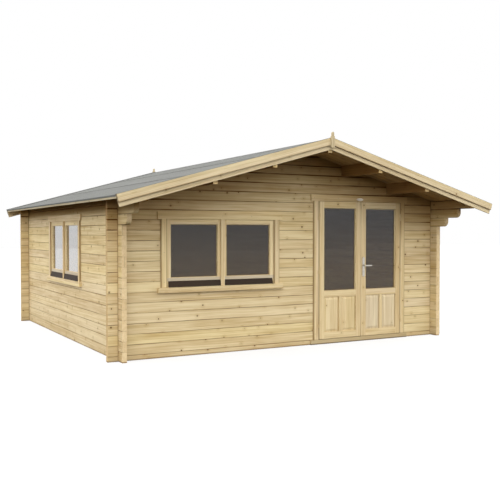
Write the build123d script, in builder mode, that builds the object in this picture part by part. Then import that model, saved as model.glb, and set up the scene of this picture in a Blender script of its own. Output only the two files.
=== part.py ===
"""Log cabin: interlocking log walls, a felted ridge roof on purlins, a double door and two double windows.

The front faces -Y, +Z is up, and the origin is at ground level under the middle of the roof.
"""

import os
from math import cos, radians, sin, tan

from build123d import *

# Fits and cuts
fit_gap = 0.3
course_gap = 0.4
overrun = 50

# Logs and plan
log_height = 120
log_thickness = 58
log_bevel = 4
side_courses = 15
cabin_width = 4750
cabin_depth = 4590
corner_reach = 125
shortest_offcut = 60

# Corbel logs and wall plates
lower_corbel_reach = 296
upper_corbel_reach = 534
corbel_nose_radius = 70
plate_outer_height = 109

# Floor
bearer_count = 7
bearer_width = 60
bearer_height = 40
floor_board_thickness = 19
floor_edge_gap = 5

# Roof
roof_pitch = 15.5
front_overhang = 825
rear_overhang = 290
eave_overhang = 285
roof_board_thickness = 19
felt_thickness = 4
ridge_strip_reach = 160
purlin_width = 58
purlin_depth = 140
purlin_spacing = 765
barge_thickness = 20
barge_depth = 135
barge_upstand = 10
barge_cover_depth = 82
batten_thickness = 20
batten_depth = 30
finial_width = 50
finial_tip_width = 30
finial_thickness = 20
finial_drop = 122
finial_rise = 69
finial_tip_height = 52
finial_point_height = 12

# Doorway and door; heights in logs are shares of a log's height
door_offset = 1050
door_opening_width = 1440
door_height_share = 15.5
door_frame_thickness = 32
door_frame_depth = 70
door_stop_width = 15
door_stop_depth = 40
door_trim_width = 75
door_header_height = 80
trim_thickness = 20
header_ear = 45
leaf_thickness = 40
leaf_gap = 5
leaf_floor_gap = 6
meeting_gap = 7
stile_width = 80
top_rail_height = 84
middle_rail_height = 76
bottom_rail_height = 88
muntin_width = 40
lower_panel_height = 467
panel_thickness = 36
panel_bevel_width = 38
panel_bevel_depth = 13
glass_thickness = 6
glass_setback = 26

# Hinges, handle plates and lever
hinge_count = 3
hinge_end_distance = 200
knuckle_radius = 7
knuckle_length = 45
knuckle_gap = 0.3
hinge_axis_stand = 8
hinge_flap_reach = 20
hinge_flap_thickness = 2.5
handle_height = 1025
plate_width = 40
plate_length = 266
plate_thickness = 4
plate_rise = 114
spindle_radius = 6
spindle_gap = 1
lever_neck_radius = 9
lever_stand = 42
lever_length = 122
lever_height = 17
lever_thickness = 12
lever_gap = 1

# Windows
window_offset = 1050
window_opening_width = 1536
window_foot_share = 6.5
window_height_share = 7.5
window_frame_thickness = 30
window_frame_depth = 70
sash_gap = 3
sash_thickness = 42
sash_setback = 1
sash_stile_width = 58
sash_top_rail_height = 73
sash_bottom_rail_height = 122
weather_bar_height = 72
weather_bar_inset = 28
weather_bar_depth = 26
weather_bar_top_depth = 8
window_trim_width = 70
mullion_width = 50
window_trim_overlap = 3
window_header_height = 83
window_header_drop = 18
sill_height = 63
sill_projection = 40
sill_fall = 6
sill_rise = 17

# Worked out from the sizes above
base_log_height = log_height / 2
slope = tan(radians(roof_pitch))
half_width = cabin_width / 2
inner_half_width = half_width - log_thickness
roof_length = cabin_depth + front_overhang + rear_overhang
front_face = front_overhang - roof_length / 2
rear_face = front_face + cabin_depth
front_middle = front_face + log_thickness / 2
rear_middle = rear_face - log_thickness / 2
side_wall_top = side_courses * log_height
ridge_underside = side_wall_top + plate_outer_height + half_width * slope
barge_inner_face = roof_length / 2 - 2 * barge_thickness - fit_gap
purlin_half_length = barge_inner_face - fit_gap
slope_length = (half_width + eave_overhang) / cos(radians(roof_pitch))
notch_height = log_height / 2 + fit_gap
notch_width = log_thickness + 2 * fit_gap
door_sill = base_log_height
door_head = door_sill + door_height_share * log_height
window_foot = window_foot_share * log_height
window_head = window_foot + window_height_share * log_height
purlin_places = [step * purlin_spacing for step in (-2, -1, 0, 1, 2)]


def roof_underside(distance):
    """Height of the roof boards' underside at a distance from the ridge."""
    return ridge_underside - abs(distance) * slope


def span(left, right, bottom, top):
    """Draws a rectangle between its four sides in the current sketch."""
    with Locations(((left + right) / 2, (bottom + top) / 2)):
        Rectangle(right - left, top - bottom)


def keep(piece, label):
    """Labels a finished piece and writes it under the same name."""
    piece.label = label
    export_step(piece, f"parts/{label}.step")


def gathered(solids):
    """Puts loose solids into one piece."""
    with BuildPart() as group:
        add(solids)
    return group.part


# Elevations: X to the right seen from outside, Y up, and the normal out of the wall's outer face
door_elevation = Plane(origin=(door_offset, front_face, 0), x_dir=(1, 0, 0), z_dir=(0, -1, 0))
front_window_elevation = Plane(origin=(-window_offset, front_face, 0), x_dir=(1, 0, 0), z_dir=(0, -1, 0))
left_window_elevation = Plane(
    origin=(-half_width, (front_face + rear_face) / 2, 0), x_dir=(0, -1, 0), z_dir=(-1, 0, 0)
)


def log_middle(foot):
    """Height of a full log's middle above the foot of its course."""
    return foot + (log_height - course_gap) / 2


def gable_wall(outer_middle, door=False, window=False):
    """Front or rear wall: base half log, tailed courses, and upper courses cut to the roof and purlins."""
    tail_end = half_width + corner_reach
    upper_end = inner_half_width - fit_gap
    course_feet = [base_log_height + course * log_height for course in range(side_courses)]
    first_upper_foot = base_log_height + side_wall_top
    upper_count = int((ridge_underside - first_upper_foot) / log_height) + 1
    upper_feet = [first_upper_foot + course * log_height for course in range(upper_count)]
    notch_levels = [*course_feet, first_upper_foot]
    notch_x = half_width - log_thickness / 2
    with BuildPart() as wall:
        with BuildSketch(Plane.YZ.offset(-tail_end)) as tailed:
            with Locations((outer_middle, (base_log_height - course_gap) / 2)):
                Rectangle(log_thickness, base_log_height - course_gap)
            with Locations(*[(outer_middle, log_middle(foot)) for foot in course_feet]):
                Rectangle(log_thickness, log_height - course_gap)
            chamfer(tailed.vertices(), length=log_bevel)
        extrude(amount=2 * tail_end)
        with BuildSketch(Plane.YZ.offset(-upper_end)) as upper:
            with Locations(*[(outer_middle, log_middle(foot)) for foot in upper_feet]):
                Rectangle(log_thickness, log_height - course_gap)
            chamfer(upper.vertices(), length=log_bevel)
        extrude(amount=2 * upper_end)
        with Locations(*[(side * notch_x, outer_middle, level) for side in (-1, 1) for level in notch_levels]):
            Box(notch_width, log_thickness + overrun, notch_height, mode=Mode.SUBTRACT)
        with BuildSketch(Plane.XZ.offset(-outer_middle - log_thickness)):
            with BuildLine():
                Polyline(
                    (-half_width, roof_underside(half_width) - fit_gap),
                    (0, ridge_underside - fit_gap),
                    (half_width, roof_underside(half_width) - fit_gap),
                    (half_width, ridge_underside + log_height),
                    (-half_width, ridge_underside + log_height),
                    close=True,
                )
            make_face()
        extrude(amount=2 * log_thickness, mode=Mode.SUBTRACT)
        with BuildSketch(Plane.XZ.offset(-outer_middle - log_thickness)):
            for place in purlin_places:
                housing_foot = roof_underside(place) - purlin_depth - fit_gap
                reach = purlin_width / 2 + fit_gap
                span(place - reach, place + reach, housing_foot, ridge_underside + log_height)
        extrude(amount=2 * log_thickness, mode=Mode.SUBTRACT)
        if door:
            with BuildSketch(door_elevation.offset(-log_thickness - overrun)):
                span(-door_opening_width / 2, door_opening_width / 2, door_sill, door_head)
            extrude(amount=log_thickness + 2 * overrun, mode=Mode.SUBTRACT)
        if window:
            with BuildSketch(front_window_elevation.offset(-log_thickness - overrun)):
                span(-window_opening_width / 2, window_opening_width / 2, window_foot, window_head)
            extrude(amount=log_thickness + 2 * overrun, mode=Mode.SUBTRACT)
    return [log for log in wall.solids() if log.bounding_box().size.X > shortest_offcut]


def side_wall(side, runs, window=False):
    """Logs of one side wall. Each run is its courses, front reach, rear reach and whether its nose is rounded."""
    middle_x = side * (half_width - log_thickness / 2)
    with BuildPart() as wall:
        for courses, front_reach, rear_reach, rounded in runs:
            front_end = front_face - front_reach
            rear_end = rear_face + rear_reach
            with BuildSketch(Plane.XZ.offset(-rear_end)) as profiles:
                with Locations(*[(middle_x, log_middle(course * log_height)) for course in courses]):
                    Rectangle(log_thickness, log_height - course_gap)
                chamfer(profiles.vertices(), length=log_bevel)
            extrude(amount=rear_end - front_end)
            levels = [course * log_height for course in (*courses, courses[-1] + 1) if course <= side_courses]
            with Locations(*[(middle_x, y, z) for y in (front_middle, rear_middle) for z in levels]):
                Box(log_thickness + overrun, notch_width, notch_height, mode=Mode.SUBTRACT)
            if rounded:
                foot = courses[0] * log_height
                with BuildSketch(Plane.YZ.offset(middle_x - log_thickness)):
                    with BuildLine():
                        Polyline(
                            (front_end, foot + corbel_nose_radius),
                            (front_end - overrun, foot + corbel_nose_radius),
                            (front_end - overrun, foot - overrun),
                            (front_end + corbel_nose_radius, foot - overrun),
                            (front_end + corbel_nose_radius, foot),
                        )
                        RadiusArc(
                            (front_end + corbel_nose_radius, foot),
                            (front_end, foot + corbel_nose_radius),
                            corbel_nose_radius,
                        )
                    make_face()
                extrude(amount=2 * log_thickness, mode=Mode.SUBTRACT)
        with BuildSketch(Plane.XZ.offset(-roof_length)):
            with BuildLine():
                Polyline(
                    (side * inner_half_width, roof_underside(inner_half_width) - fit_gap),
                    (side * (half_width + log_thickness), roof_underside(half_width + log_thickness) - fit_gap),
                    (side * (half_width + log_thickness), ridge_underside),
                    (side * inner_half_width, ridge_underside),
                    close=True,
                )
            make_face()
        extrude(amount=2 * roof_length, mode=Mode.SUBTRACT)
        if window:
            with BuildSketch(left_window_elevation.offset(-log_thickness - overrun)):
                span(-window_opening_width / 2, window_opening_width / 2, window_foot, window_head)
            extrude(amount=log_thickness + 2 * overrun, mode=Mode.SUBTRACT)
    return wall.part


def slope_section(place):
    """Section of the right-hand slope at a place along the roof: X down the slope from the ridge, Y square to it."""
    pitch = radians(roof_pitch)
    return Plane(origin=(0, place, ridge_underside), x_dir=(cos(pitch), 0, -sin(pitch)), z_dir=(0, -1, 0))


def slope_pair(bottom, top, length, rear, front):
    """A layer on both slopes: plumb beside the ridge, square to the slope at its lower end."""
    with BuildPart() as pair:
        with BuildSketch(slope_section(rear)):
            with BuildLine():
                Polyline(
                    (fit_gap - bottom * slope, bottom),
                    (length, bottom),
                    (length, top),
                    (fit_gap - top * slope, top),
                    close=True,
                )
            make_face()
        extrude(amount=rear - front)
        mirror(about=Plane.YZ)
    return pair.part


os.makedirs("parts", exist_ok=True)

# Walls
front_logs = gable_wall(front_middle, door=True, window=True)
front_base = [log for log in front_logs if log.bounding_box().max.Z < base_log_height]
front_upper = [log for log in front_logs if log.bounding_box().min.Z > side_wall_top + base_log_height + overrun]
front_body = [log for log in front_logs if log not in front_base and log not in front_upper]
front_left = [log for log in front_body if log.bounding_box().max.X < door_offset]
front_right = [log for log in front_body if log.bounding_box().min.X > door_offset]
front_lintel = [log for log in front_body if log not in front_left and log not in front_right]
keep(gathered(front_base), "front_wall_base_log")
keep(gathered(front_left), "front_wall_left_logs")
keep(gathered(front_right), "front_wall_right_logs")
keep(gathered(front_lintel), "front_lintel_log")
keep(gathered(front_upper), "front_gable_logs")

rear_logs = gable_wall(rear_middle)
rear_upper = [log for log in rear_logs if log.bounding_box().min.Z > side_wall_top]
rear_body = [log for log in rear_logs if log not in rear_upper]
keep(gathered(rear_body), "rear_wall_logs")
keep(gathered(rear_upper), "rear_gable_logs")

lower_course = side_courses - 2
plain_runs = [(range(lower_course), corner_reach, corner_reach, False)]
plate_front_reach = front_face + purlin_half_length
plate_rear_reach = purlin_half_length - rear_face
corbel_runs = [
    ([lower_course], lower_corbel_reach, corner_reach, True),
    ([lower_course + 1], upper_corbel_reach, corner_reach, True),
    ([side_courses], plate_front_reach, plate_rear_reach, False),
]
keep(side_wall(-1, plain_runs, window=True), "left_wall_logs")
keep(side_wall(-1, corbel_runs, window=True), "left_wall_corbel_logs")
keep(side_wall(1, plain_runs), "right_wall_logs")
keep(side_wall(1, corbel_runs), "right_wall_corbel_logs")

# Floor
floor_half_width = inner_half_width - floor_edge_gap
floor_front = front_face + log_thickness + floor_edge_gap
floor_rear = rear_face - log_thickness - floor_edge_gap
bearer_pitch = (floor_rear - floor_front - bearer_width) / (bearer_count - 1)
with BuildPart() as floor_bearers:
    with BuildSketch(Plane.XY):
        bearer_end = inner_half_width - fit_gap
        for row in range(bearer_count):
            edge = floor_front + row * bearer_pitch
            span(-bearer_end, bearer_end, edge, edge + bearer_width)
    extrude(amount=bearer_height)
keep(floor_bearers.part, "floor_bearers")

with BuildPart() as floor_boards:
    with BuildSketch(Plane.XY.offset(bearer_height + fit_gap)):
        span(-floor_half_width, floor_half_width, floor_front, floor_rear)
    extrude(amount=floor_board_thickness)
keep(floor_boards.part, "floor_boards")

# Roof
with BuildPart() as roof_purlins:
    with BuildSketch(Plane.XZ.offset(-purlin_half_length)):
        for place in purlin_places:
            foot = roof_underside(place) - purlin_depth
            near = place - purlin_width / 2
            far = place + purlin_width / 2
            crown = [(place, ridge_underside - fit_gap)] if place == 0 else []
            with BuildLine():
                Polyline(
                    (near, foot),
                    (far, foot),
                    (far, roof_underside(far) - fit_gap),
                    *crown,
                    (near, roof_underside(near) - fit_gap),
                    close=True,
                )
            make_face()
    extrude(amount=2 * purlin_half_length)
keep(roof_purlins.part, "roof_purlins")

felt_foot = roof_board_thickness + fit_gap
felt_top = felt_foot + felt_thickness
barge_top = felt_top + barge_upstand
barge_foot = barge_top - barge_depth
board_length = slope_length - batten_thickness - fit_gap
keep(slope_pair(0, roof_board_thickness, board_length, purlin_half_length, -purlin_half_length), "roof_boards")
keep(slope_pair(felt_foot, felt_top, slope_length, purlin_half_length, -purlin_half_length), "roof_felt")

with BuildPart() as ridge_felt_strip:
    with BuildSketch(slope_section(purlin_half_length)) as strip:
        with BuildLine():
            strip_foot = felt_top + fit_gap
            strip_top = strip_foot + felt_thickness
            Polyline(
                (-strip_foot * slope, strip_foot),
                (ridge_strip_reach, strip_foot),
                (ridge_strip_reach, strip_top),
                (-strip_top * slope, strip_top),
                close=True,
            )
        make_face()
    extrude(amount=2 * purlin_half_length)
    mirror(about=Plane.YZ)
keep(ridge_felt_strip.part, "ridge_felt_strip")

barge_outer_face = barge_inner_face + barge_thickness
cover_outer_face = roof_length / 2
cover_inner_face = barge_outer_face + fit_gap
keep(slope_pair(barge_foot, barge_top, slope_length, -barge_inner_face, -barge_outer_face), "front_barge_boards")
keep(slope_pair(barge_foot, barge_top, slope_length, barge_outer_face, barge_inner_face), "rear_barge_boards")
cover_foot = barge_top - barge_cover_depth
front_covers = slope_pair(cover_foot, barge_top, slope_length, -cover_inner_face, -cover_outer_face)
rear_covers = slope_pair(cover_foot, barge_top, slope_length, cover_outer_face, cover_inner_face)
keep(gathered([*front_covers.solids(), *rear_covers.solids()]), "barge_covers")

with BuildPart() as eave_battens:
    with BuildSketch(slope_section(purlin_half_length)):
        span(slope_length - batten_thickness, slope_length, roof_board_thickness - batten_depth, roof_board_thickness)
    extrude(amount=2 * purlin_half_length)
    mirror(about=Plane.YZ)
keep(eave_battens.part, "eave_battens")

finial_foot = ridge_underside + barge_top - finial_drop
finial_top = ridge_underside + barge_top + finial_rise
finial_face = cover_outer_face + fit_gap
with BuildPart() as roof_finials:
    with BuildSketch(Plane.XZ.offset(finial_face)):
        with BuildLine():
            Polyline(
                (-finial_width / 2, finial_foot),
                (finial_width / 2, finial_foot),
                (finial_width / 2, finial_top - finial_tip_height),
                (finial_tip_width / 2, finial_top - finial_tip_height),
                (finial_tip_width / 2, finial_top - finial_point_height),
                (0, finial_top),
                (-finial_tip_width / 2, finial_top - finial_point_height),
                (-finial_tip_width / 2, finial_top - finial_tip_height),
                (-finial_width / 2, finial_top - finial_tip_height),
                close=True,
            )
        make_face()
    extrude(amount=finial_thickness)
    mirror(about=Plane.XZ)
keep(roof_finials.part, "roof_finials")

# Door frame and surround
frame_outer = door_opening_width / 2 - fit_gap
frame_inner = door_opening_width / 2 - door_frame_thickness
frame_foot = door_sill + fit_gap
frame_top = door_head - fit_gap
frame_soffit = door_head - door_frame_thickness
leaf_back = trim_thickness - leaf_thickness
stop_front = leaf_back - leaf_gap
with BuildPart() as door_frame:
    with BuildSketch(door_elevation.offset(-door_frame_depth)):
        span(-frame_outer, -frame_inner, frame_foot, frame_top)
        span(frame_inner, frame_outer, frame_foot, frame_top)
        span(-frame_inner + fit_gap, frame_inner - fit_gap, frame_soffit, frame_top)
    extrude(amount=door_frame_depth - fit_gap)
    with BuildSketch(door_elevation.offset(stop_front - door_stop_depth)):
        stop_outer = frame_inner - fit_gap
        stop_inner = stop_outer - door_stop_width
        stop_top = frame_soffit - fit_gap
        span(-stop_outer, -stop_inner, frame_foot, stop_top)
        span(stop_inner, stop_outer, frame_foot, stop_top)
        span(-stop_inner + fit_gap, stop_inner - fit_gap, stop_top - door_stop_width, stop_top)
    extrude(amount=door_stop_depth)
keep(door_frame.part, "door_frame")

with BuildPart() as door_surround:
    with BuildSketch(door_elevation):
        trim_outer = frame_inner + door_trim_width
        header_outer = trim_outer + header_ear
        span(-trim_outer, -frame_inner, door_sill, frame_soffit - fit_gap)
        span(frame_inner, trim_outer, door_sill, frame_soffit - fit_gap)
        span(-header_outer, header_outer, frame_soffit, frame_soffit + door_header_height)
        span(-header_outer, header_outer, 0, door_sill - fit_gap)
    extrude(amount=trim_thickness)
keep(door_surround.part, "door_surround")

# Door leaves
leaf_foot = door_sill + leaf_floor_gap
leaf_top = frame_soffit - leaf_gap
leaf_outer = frame_inner - leaf_gap
leaf_inner = meeting_gap / 2
panel_foot = leaf_foot + bottom_rail_height
panel_top = panel_foot + lower_panel_height
pane_foot = panel_top + middle_rail_height
pane_top = leaf_top - top_rail_height
rail_near = leaf_inner + stile_width + fit_gap
rail_far = leaf_outer - stile_width - fit_gap
leaf_middle = (leaf_inner + leaf_outer) / 2
spindle_x = leaf_inner + stile_width / 2
muntin_near = leaf_middle - muntin_width / 2
muntin_far = leaf_middle + muntin_width / 2
panel_plane = trim_thickness - leaf_thickness / 2
glass_plane = trim_thickness - glass_setback
hinge_axis_x = frame_inner - leaf_gap / 2
hinge_axis_stand_off = trim_thickness + hinge_axis_stand
hinge_levels = [
    leaf_foot + hinge_end_distance + step * (leaf_top - leaf_foot - 2 * hinge_end_distance) / (hinge_count - 1)
    for step in range(hinge_count)
]


def either_way(side, near, far, bottom, top):
    """Draws a rectangle on one leaf, with its sides given as distances from the meeting line."""
    span(min(side * near, side * far), max(side * near, side * far), bottom, top)


def door_leaf(side, bored):
    """Stiles, rails and muntin of one leaf; the leaf with the lever has a bore for its spindle."""
    with BuildPart() as leaf:
        with BuildSketch(door_elevation.offset(leaf_back)):
            either_way(side, leaf_inner, leaf_inner + stile_width, leaf_foot, leaf_top)
            either_way(side, leaf_outer - stile_width, leaf_outer, leaf_foot, leaf_top)
            either_way(side, rail_near, rail_far, leaf_foot, panel_foot)
            either_way(side, rail_near, rail_far, panel_top, pane_foot)
            either_way(side, rail_near, rail_far, pane_top, leaf_top)
            either_way(side, muntin_near, muntin_far, panel_foot + fit_gap, panel_top - fit_gap)
            if bored:
                with Locations((side * spindle_x, handle_height)):
                    Circle(spindle_radius + spindle_gap, mode=Mode.SUBTRACT)
        extrude(amount=leaf_thickness)
    return leaf.part


def door_panels(side):
    """Two raised panels of one leaf, bevelled round their outer and inner faces."""
    with BuildPart() as panels:
        with BuildSketch(door_elevation.offset(panel_plane - panel_thickness / 2)):
            panel_edges = [(rail_near, muntin_near - fit_gap), (muntin_far + fit_gap, rail_far)]
            for near, far in panel_edges:
                either_way(side, near, far, panel_foot + fit_gap, panel_top - fit_gap)
        extrude(amount=panel_thickness)
        for layer in (0, -1):
            for end in (0, -1):
                field = panels.faces().filter_by(Axis.Y).group_by(Axis.Y)[layer].sort_by(Axis.X)[end]
                chamfer(field.edges(), length=panel_bevel_width, length2=panel_bevel_depth, reference=field)
    return panels.part


def door_glass(side):
    """The pane of one leaf."""
    with BuildPart() as pane:
        with BuildSketch(door_elevation.offset(glass_plane - glass_thickness / 2)):
            either_way(side, rail_near, rail_far, pane_foot + fit_gap, pane_top - fit_gap)
        extrude(amount=glass_thickness)
    return pane.part


def hinge_halves(side, outward, upper):
    """One leaf's hinge halves: a knuckle on the axis with its flap, on the jamb side or on the leaf side."""
    axis_y = front_face - hinge_axis_stand_off
    axis_x = door_offset + side * hinge_axis_x
    flap_end = side * (hinge_axis_x + outward * hinge_flap_reach)
    with BuildPart() as halves:
        for level in hinge_levels:
            foot = level + knuckle_gap / 2 if upper else level - knuckle_gap / 2 - knuckle_length
            with BuildSketch(Plane.XY.offset(foot)):
                with Locations((axis_x, axis_y)):
                    Circle(knuckle_radius)
            extrude(amount=knuckle_length)
            with BuildSketch(door_elevation.offset(trim_thickness + fit_gap)):
                near = min(flap_end, side * hinge_axis_x)
                far = max(flap_end, side * hinge_axis_x)
                span(near, far, foot, foot + knuckle_length)
            extrude(amount=hinge_flap_thickness)
    return halves.part


for leaf_name, leaf_side in (("left", -1), ("right", 1)):
    keep(door_leaf(leaf_side, bored=leaf_name == "right"), f"{leaf_name}_door_leaf")
    keep(door_panels(leaf_side), f"{leaf_name}_door_panels")
    keep(door_glass(leaf_side), f"{leaf_name}_door_glass")
    keep(hinge_halves(leaf_side, outward=-1, upper=True), f"{leaf_name}_leaf_hinges")
fixed_halves = [hinge_halves(side, outward=1, upper=False) for side in (-1, 1)]
keep(gathered([half for pair in fixed_halves for half in pair.solids()]), "door_frame_hinges")

# Handle plates and lever
with BuildPart() as door_handle_plates:
    for plate_back in (trim_thickness + fit_gap, leaf_back - fit_gap - plate_thickness):
        with BuildSketch(door_elevation.offset(plate_back)):
            with Locations((spindle_x, handle_height + plate_rise - plate_length / 2)):
                RectangleRounded(plate_width, plate_length, plate_width / 2 - fit_gap)
            with Locations((spindle_x, handle_height)):
                Circle(spindle_radius + spindle_gap, mode=Mode.SUBTRACT)
        extrude(amount=plate_thickness)
keep(door_handle_plates.part, "door_handle_plates")

spindle_reach = trim_thickness + fit_gap + plate_thickness + lever_gap
spindle_length = leaf_thickness + 2 * (spindle_reach - trim_thickness)
with BuildPart() as door_lever:
    with BuildSketch(door_elevation.offset(spindle_reach - spindle_length)):
        with Locations((spindle_x, handle_height)):
            Circle(spindle_radius)
    extrude(amount=spindle_length)
    for neck_foot, neck_way in ((spindle_reach, 1), (spindle_reach - spindle_length, -1)):
        with BuildSketch(door_elevation.offset(neck_foot)):
            with Locations((spindle_x, handle_height)):
                Circle(lever_neck_radius)
        extrude(amount=neck_way * lever_stand)
        with BuildSketch(door_elevation.offset(neck_foot + neck_way * (lever_stand - lever_thickness))):
            with Locations((spindle_x + lever_length / 2 - lever_neck_radius, handle_height)):
                SlotOverall(lever_length, lever_height)
        extrude(amount=neck_way * lever_thickness)
keep(door_lever.part, "door_lever")


# Windows
def window_frame(elevation):
    """Four frame members that line the opening in the logs."""
    outer = window_opening_width / 2 - fit_gap
    inner = window_opening_width / 2 - window_frame_thickness
    foot = window_foot + fit_gap
    top = window_head - fit_gap
    with BuildPart() as frame:
        with BuildSketch(elevation.offset(-window_frame_depth)):
            span(-outer, -inner, foot, top)
            span(inner, outer, foot, top)
            span(-inner + fit_gap, inner - fit_gap, foot, foot + window_frame_thickness)
            span(-inner + fit_gap, inner - fit_gap, top - window_frame_thickness, top)
        extrude(amount=window_frame_depth - fit_gap)
    return frame.part


sash_near = sash_gap / 2
sash_far = window_opening_width / 2 - window_frame_thickness - sash_gap / 2
sash_foot = window_foot + window_frame_thickness + sash_gap
sash_top = window_head - window_frame_thickness - sash_gap
sash_pane_near = sash_near + sash_stile_width
sash_pane_far = sash_far - sash_stile_width
sash_pane_foot = sash_foot + sash_bottom_rail_height
sash_pane_top = sash_top - sash_top_rail_height
sill_top = window_foot + window_frame_thickness + sill_rise


def window_sashes(elevation):
    """Stiles and rails of both sashes."""
    with BuildPart() as sashes:
        with BuildSketch(elevation.offset(-sash_setback - sash_thickness)):
            for side in (-1, 1):
                either_way(side, sash_near, sash_pane_near, sash_foot, sash_top)
                either_way(side, sash_pane_far, sash_far, sash_foot, sash_top)
                rail_ends = (sash_pane_near + fit_gap, sash_pane_far - fit_gap)
                either_way(side, *rail_ends, sash_foot, sash_pane_foot)
                either_way(side, *rail_ends, sash_pane_top, sash_top)
        extrude(amount=sash_thickness)
    return sashes.part


def window_glass(elevation):
    """One pane in each sash."""
    with BuildPart() as panes:
        with BuildSketch(elevation.offset(-sash_setback - (sash_thickness + glass_thickness) / 2)):
            for side in (-1, 1):
                pane_sides = (sash_pane_near + fit_gap, sash_pane_far - fit_gap)
                either_way(side, *pane_sides, sash_pane_foot + fit_gap, sash_pane_top - fit_gap)
        extrude(amount=glass_thickness)
    return panes.part


def window_weather_bars(elevation):
    """Sloping drip bars, one along the foot of each sash."""
    profile_plane = Plane(origin=elevation.origin, x_dir=elevation.z_dir, z_dir=-elevation.x_dir)
    back = fit_gap - sash_setback
    with BuildPart() as bars:
        for side in (-1, 1):
            middle = side * (sash_near + sash_far) / 2
            length = sash_far - sash_near - 2 * weather_bar_inset
            with BuildSketch(profile_plane.offset(-middle - length / 2)):
                with BuildLine():
                    Polyline(
                        (back, sill_top + fit_gap),
                        (back + weather_bar_depth, sill_top + fit_gap),
                        (back + weather_bar_top_depth, sill_top + weather_bar_height),
                        (back, sill_top + weather_bar_height),
                        close=True,
                    )
                make_face()
            extrude(amount=length)
    return bars.part


def window_surround(elevation):
    """Outside trims, mullion over the meeting stiles, header with ears, and sill with a falling top."""
    inner = window_opening_width / 2 - window_frame_thickness - window_trim_overlap
    outer = inner + window_trim_width
    header_foot = window_head - window_frame_thickness - window_header_drop
    sill_half = outer + header_ear
    profile_plane = Plane(origin=elevation.origin, x_dir=elevation.z_dir, z_dir=-elevation.x_dir)
    with BuildPart() as surround:
        with BuildSketch(elevation.offset(fit_gap)):
            span(-outer, -inner, sill_top + fit_gap, header_foot - fit_gap)
            span(inner, outer, sill_top + fit_gap, header_foot - fit_gap)
            span(-mullion_width / 2, mullion_width / 2, sill_top + fit_gap, header_foot - fit_gap)
            span(-sill_half, sill_half, header_foot, header_foot + window_header_height)
        extrude(amount=trim_thickness)
        with BuildSketch(profile_plane.offset(-sill_half)):
            with BuildLine():
                Polyline(
                    (fit_gap, sill_top - sill_height),
                    (sill_projection, sill_top - sill_height),
                    (sill_projection, sill_top - sill_fall),
                    (trim_thickness, sill_top),
                    (fit_gap, sill_top),
                    close=True,
                )
            make_face()
        extrude(amount=2 * sill_half)
    return surround.part


for window_name, window_elevation in (("front", front_window_elevation), ("left", left_window_elevation)):
    keep(window_frame(window_elevation), f"{window_name}_window_frame")
    keep(window_sashes(window_elevation), f"{window_name}_window_sashes")
    keep(window_glass(window_elevation), f"{window_name}_window_glass")
    keep(window_weather_bars(window_elevation), f"{window_name}_weather_bars")
    keep(window_surround(window_elevation), f"{window_name}_window_surround")
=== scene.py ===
"""The looks of a garden log cabin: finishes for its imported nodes, and the fine pieces that dress them."""

import logging
import math
from collections.abc import Iterable, Sequence
from dataclasses import dataclass
from enum import Enum

import bmesh
import bpy
import numpy as np
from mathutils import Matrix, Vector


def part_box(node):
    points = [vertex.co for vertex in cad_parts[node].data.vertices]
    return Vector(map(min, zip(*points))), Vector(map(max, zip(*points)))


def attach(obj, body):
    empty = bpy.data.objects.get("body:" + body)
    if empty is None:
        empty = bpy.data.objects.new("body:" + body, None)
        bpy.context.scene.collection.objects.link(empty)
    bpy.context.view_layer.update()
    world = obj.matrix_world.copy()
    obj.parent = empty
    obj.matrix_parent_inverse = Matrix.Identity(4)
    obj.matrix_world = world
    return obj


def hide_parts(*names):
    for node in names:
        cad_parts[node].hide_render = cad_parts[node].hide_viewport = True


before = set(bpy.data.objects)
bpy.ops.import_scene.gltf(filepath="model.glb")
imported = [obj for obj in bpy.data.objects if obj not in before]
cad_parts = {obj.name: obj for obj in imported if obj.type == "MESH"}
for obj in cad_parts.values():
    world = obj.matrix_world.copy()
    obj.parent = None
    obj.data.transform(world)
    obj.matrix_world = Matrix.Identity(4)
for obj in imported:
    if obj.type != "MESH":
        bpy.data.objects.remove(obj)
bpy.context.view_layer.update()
log = logging.getLogger("log_cabin")

Colour = tuple[float, float, float, float]
Span = tuple[float, float]
Upright = tuple[float, float, float, float]
Input = bpy.types.NodeSocket | float | Sequence[float]

# The height of the roof's underside at the ridge, its pitch, and a log's height and thickness
RIDGE = 2.56765
PITCH = math.atan(0.27732)
COURSE = 0.12
LOG_THICKNESS = 0.058
RIGHT, OUT, UP = np.array([1.0, 0.0, 0.0]), np.array([0.0, -1.0, 0.0]), np.array([0.0, 0.0, 1.0])
# How squarely a face has to look along the grain to be a cut end: from not at all to fully
END_FACING: Span = (0.75, 0.92)
SMOOTH_ANGLE, BEAD_ANGLE = 40.0, 35.0


def tone(red: float, green: float, blue: float) -> Colour:
    """Linear colour of a display colour: ((c + 0.055) / 1.055) to the power 2.4 for each channel.

    Args:
        red: Red, 0 to 255.
        green: Green, 0 to 255.
        blue: Blue, 0 to 255.

    Returns:
        The linear colour with full alpha.
    """
    linear = ((np.array([red, green, blue]) / 255 + 0.055) / 1.055) ** 2.4
    return (*linear.tolist(), 1.0)


class Run(Enum):
    """Which way a board's grain runs: the order of its coordinates as along, through and across."""

    ALONG_X = (0, 1, 2)
    ALONG_Y = (1, 0, 2)
    FLAT_X = (0, 2, 1)
    FLAT_Y = (1, 2, 0)
    UP_FRONT = (2, 1, 0)
    UP_SIDE = (2, 0, 1)


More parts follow.
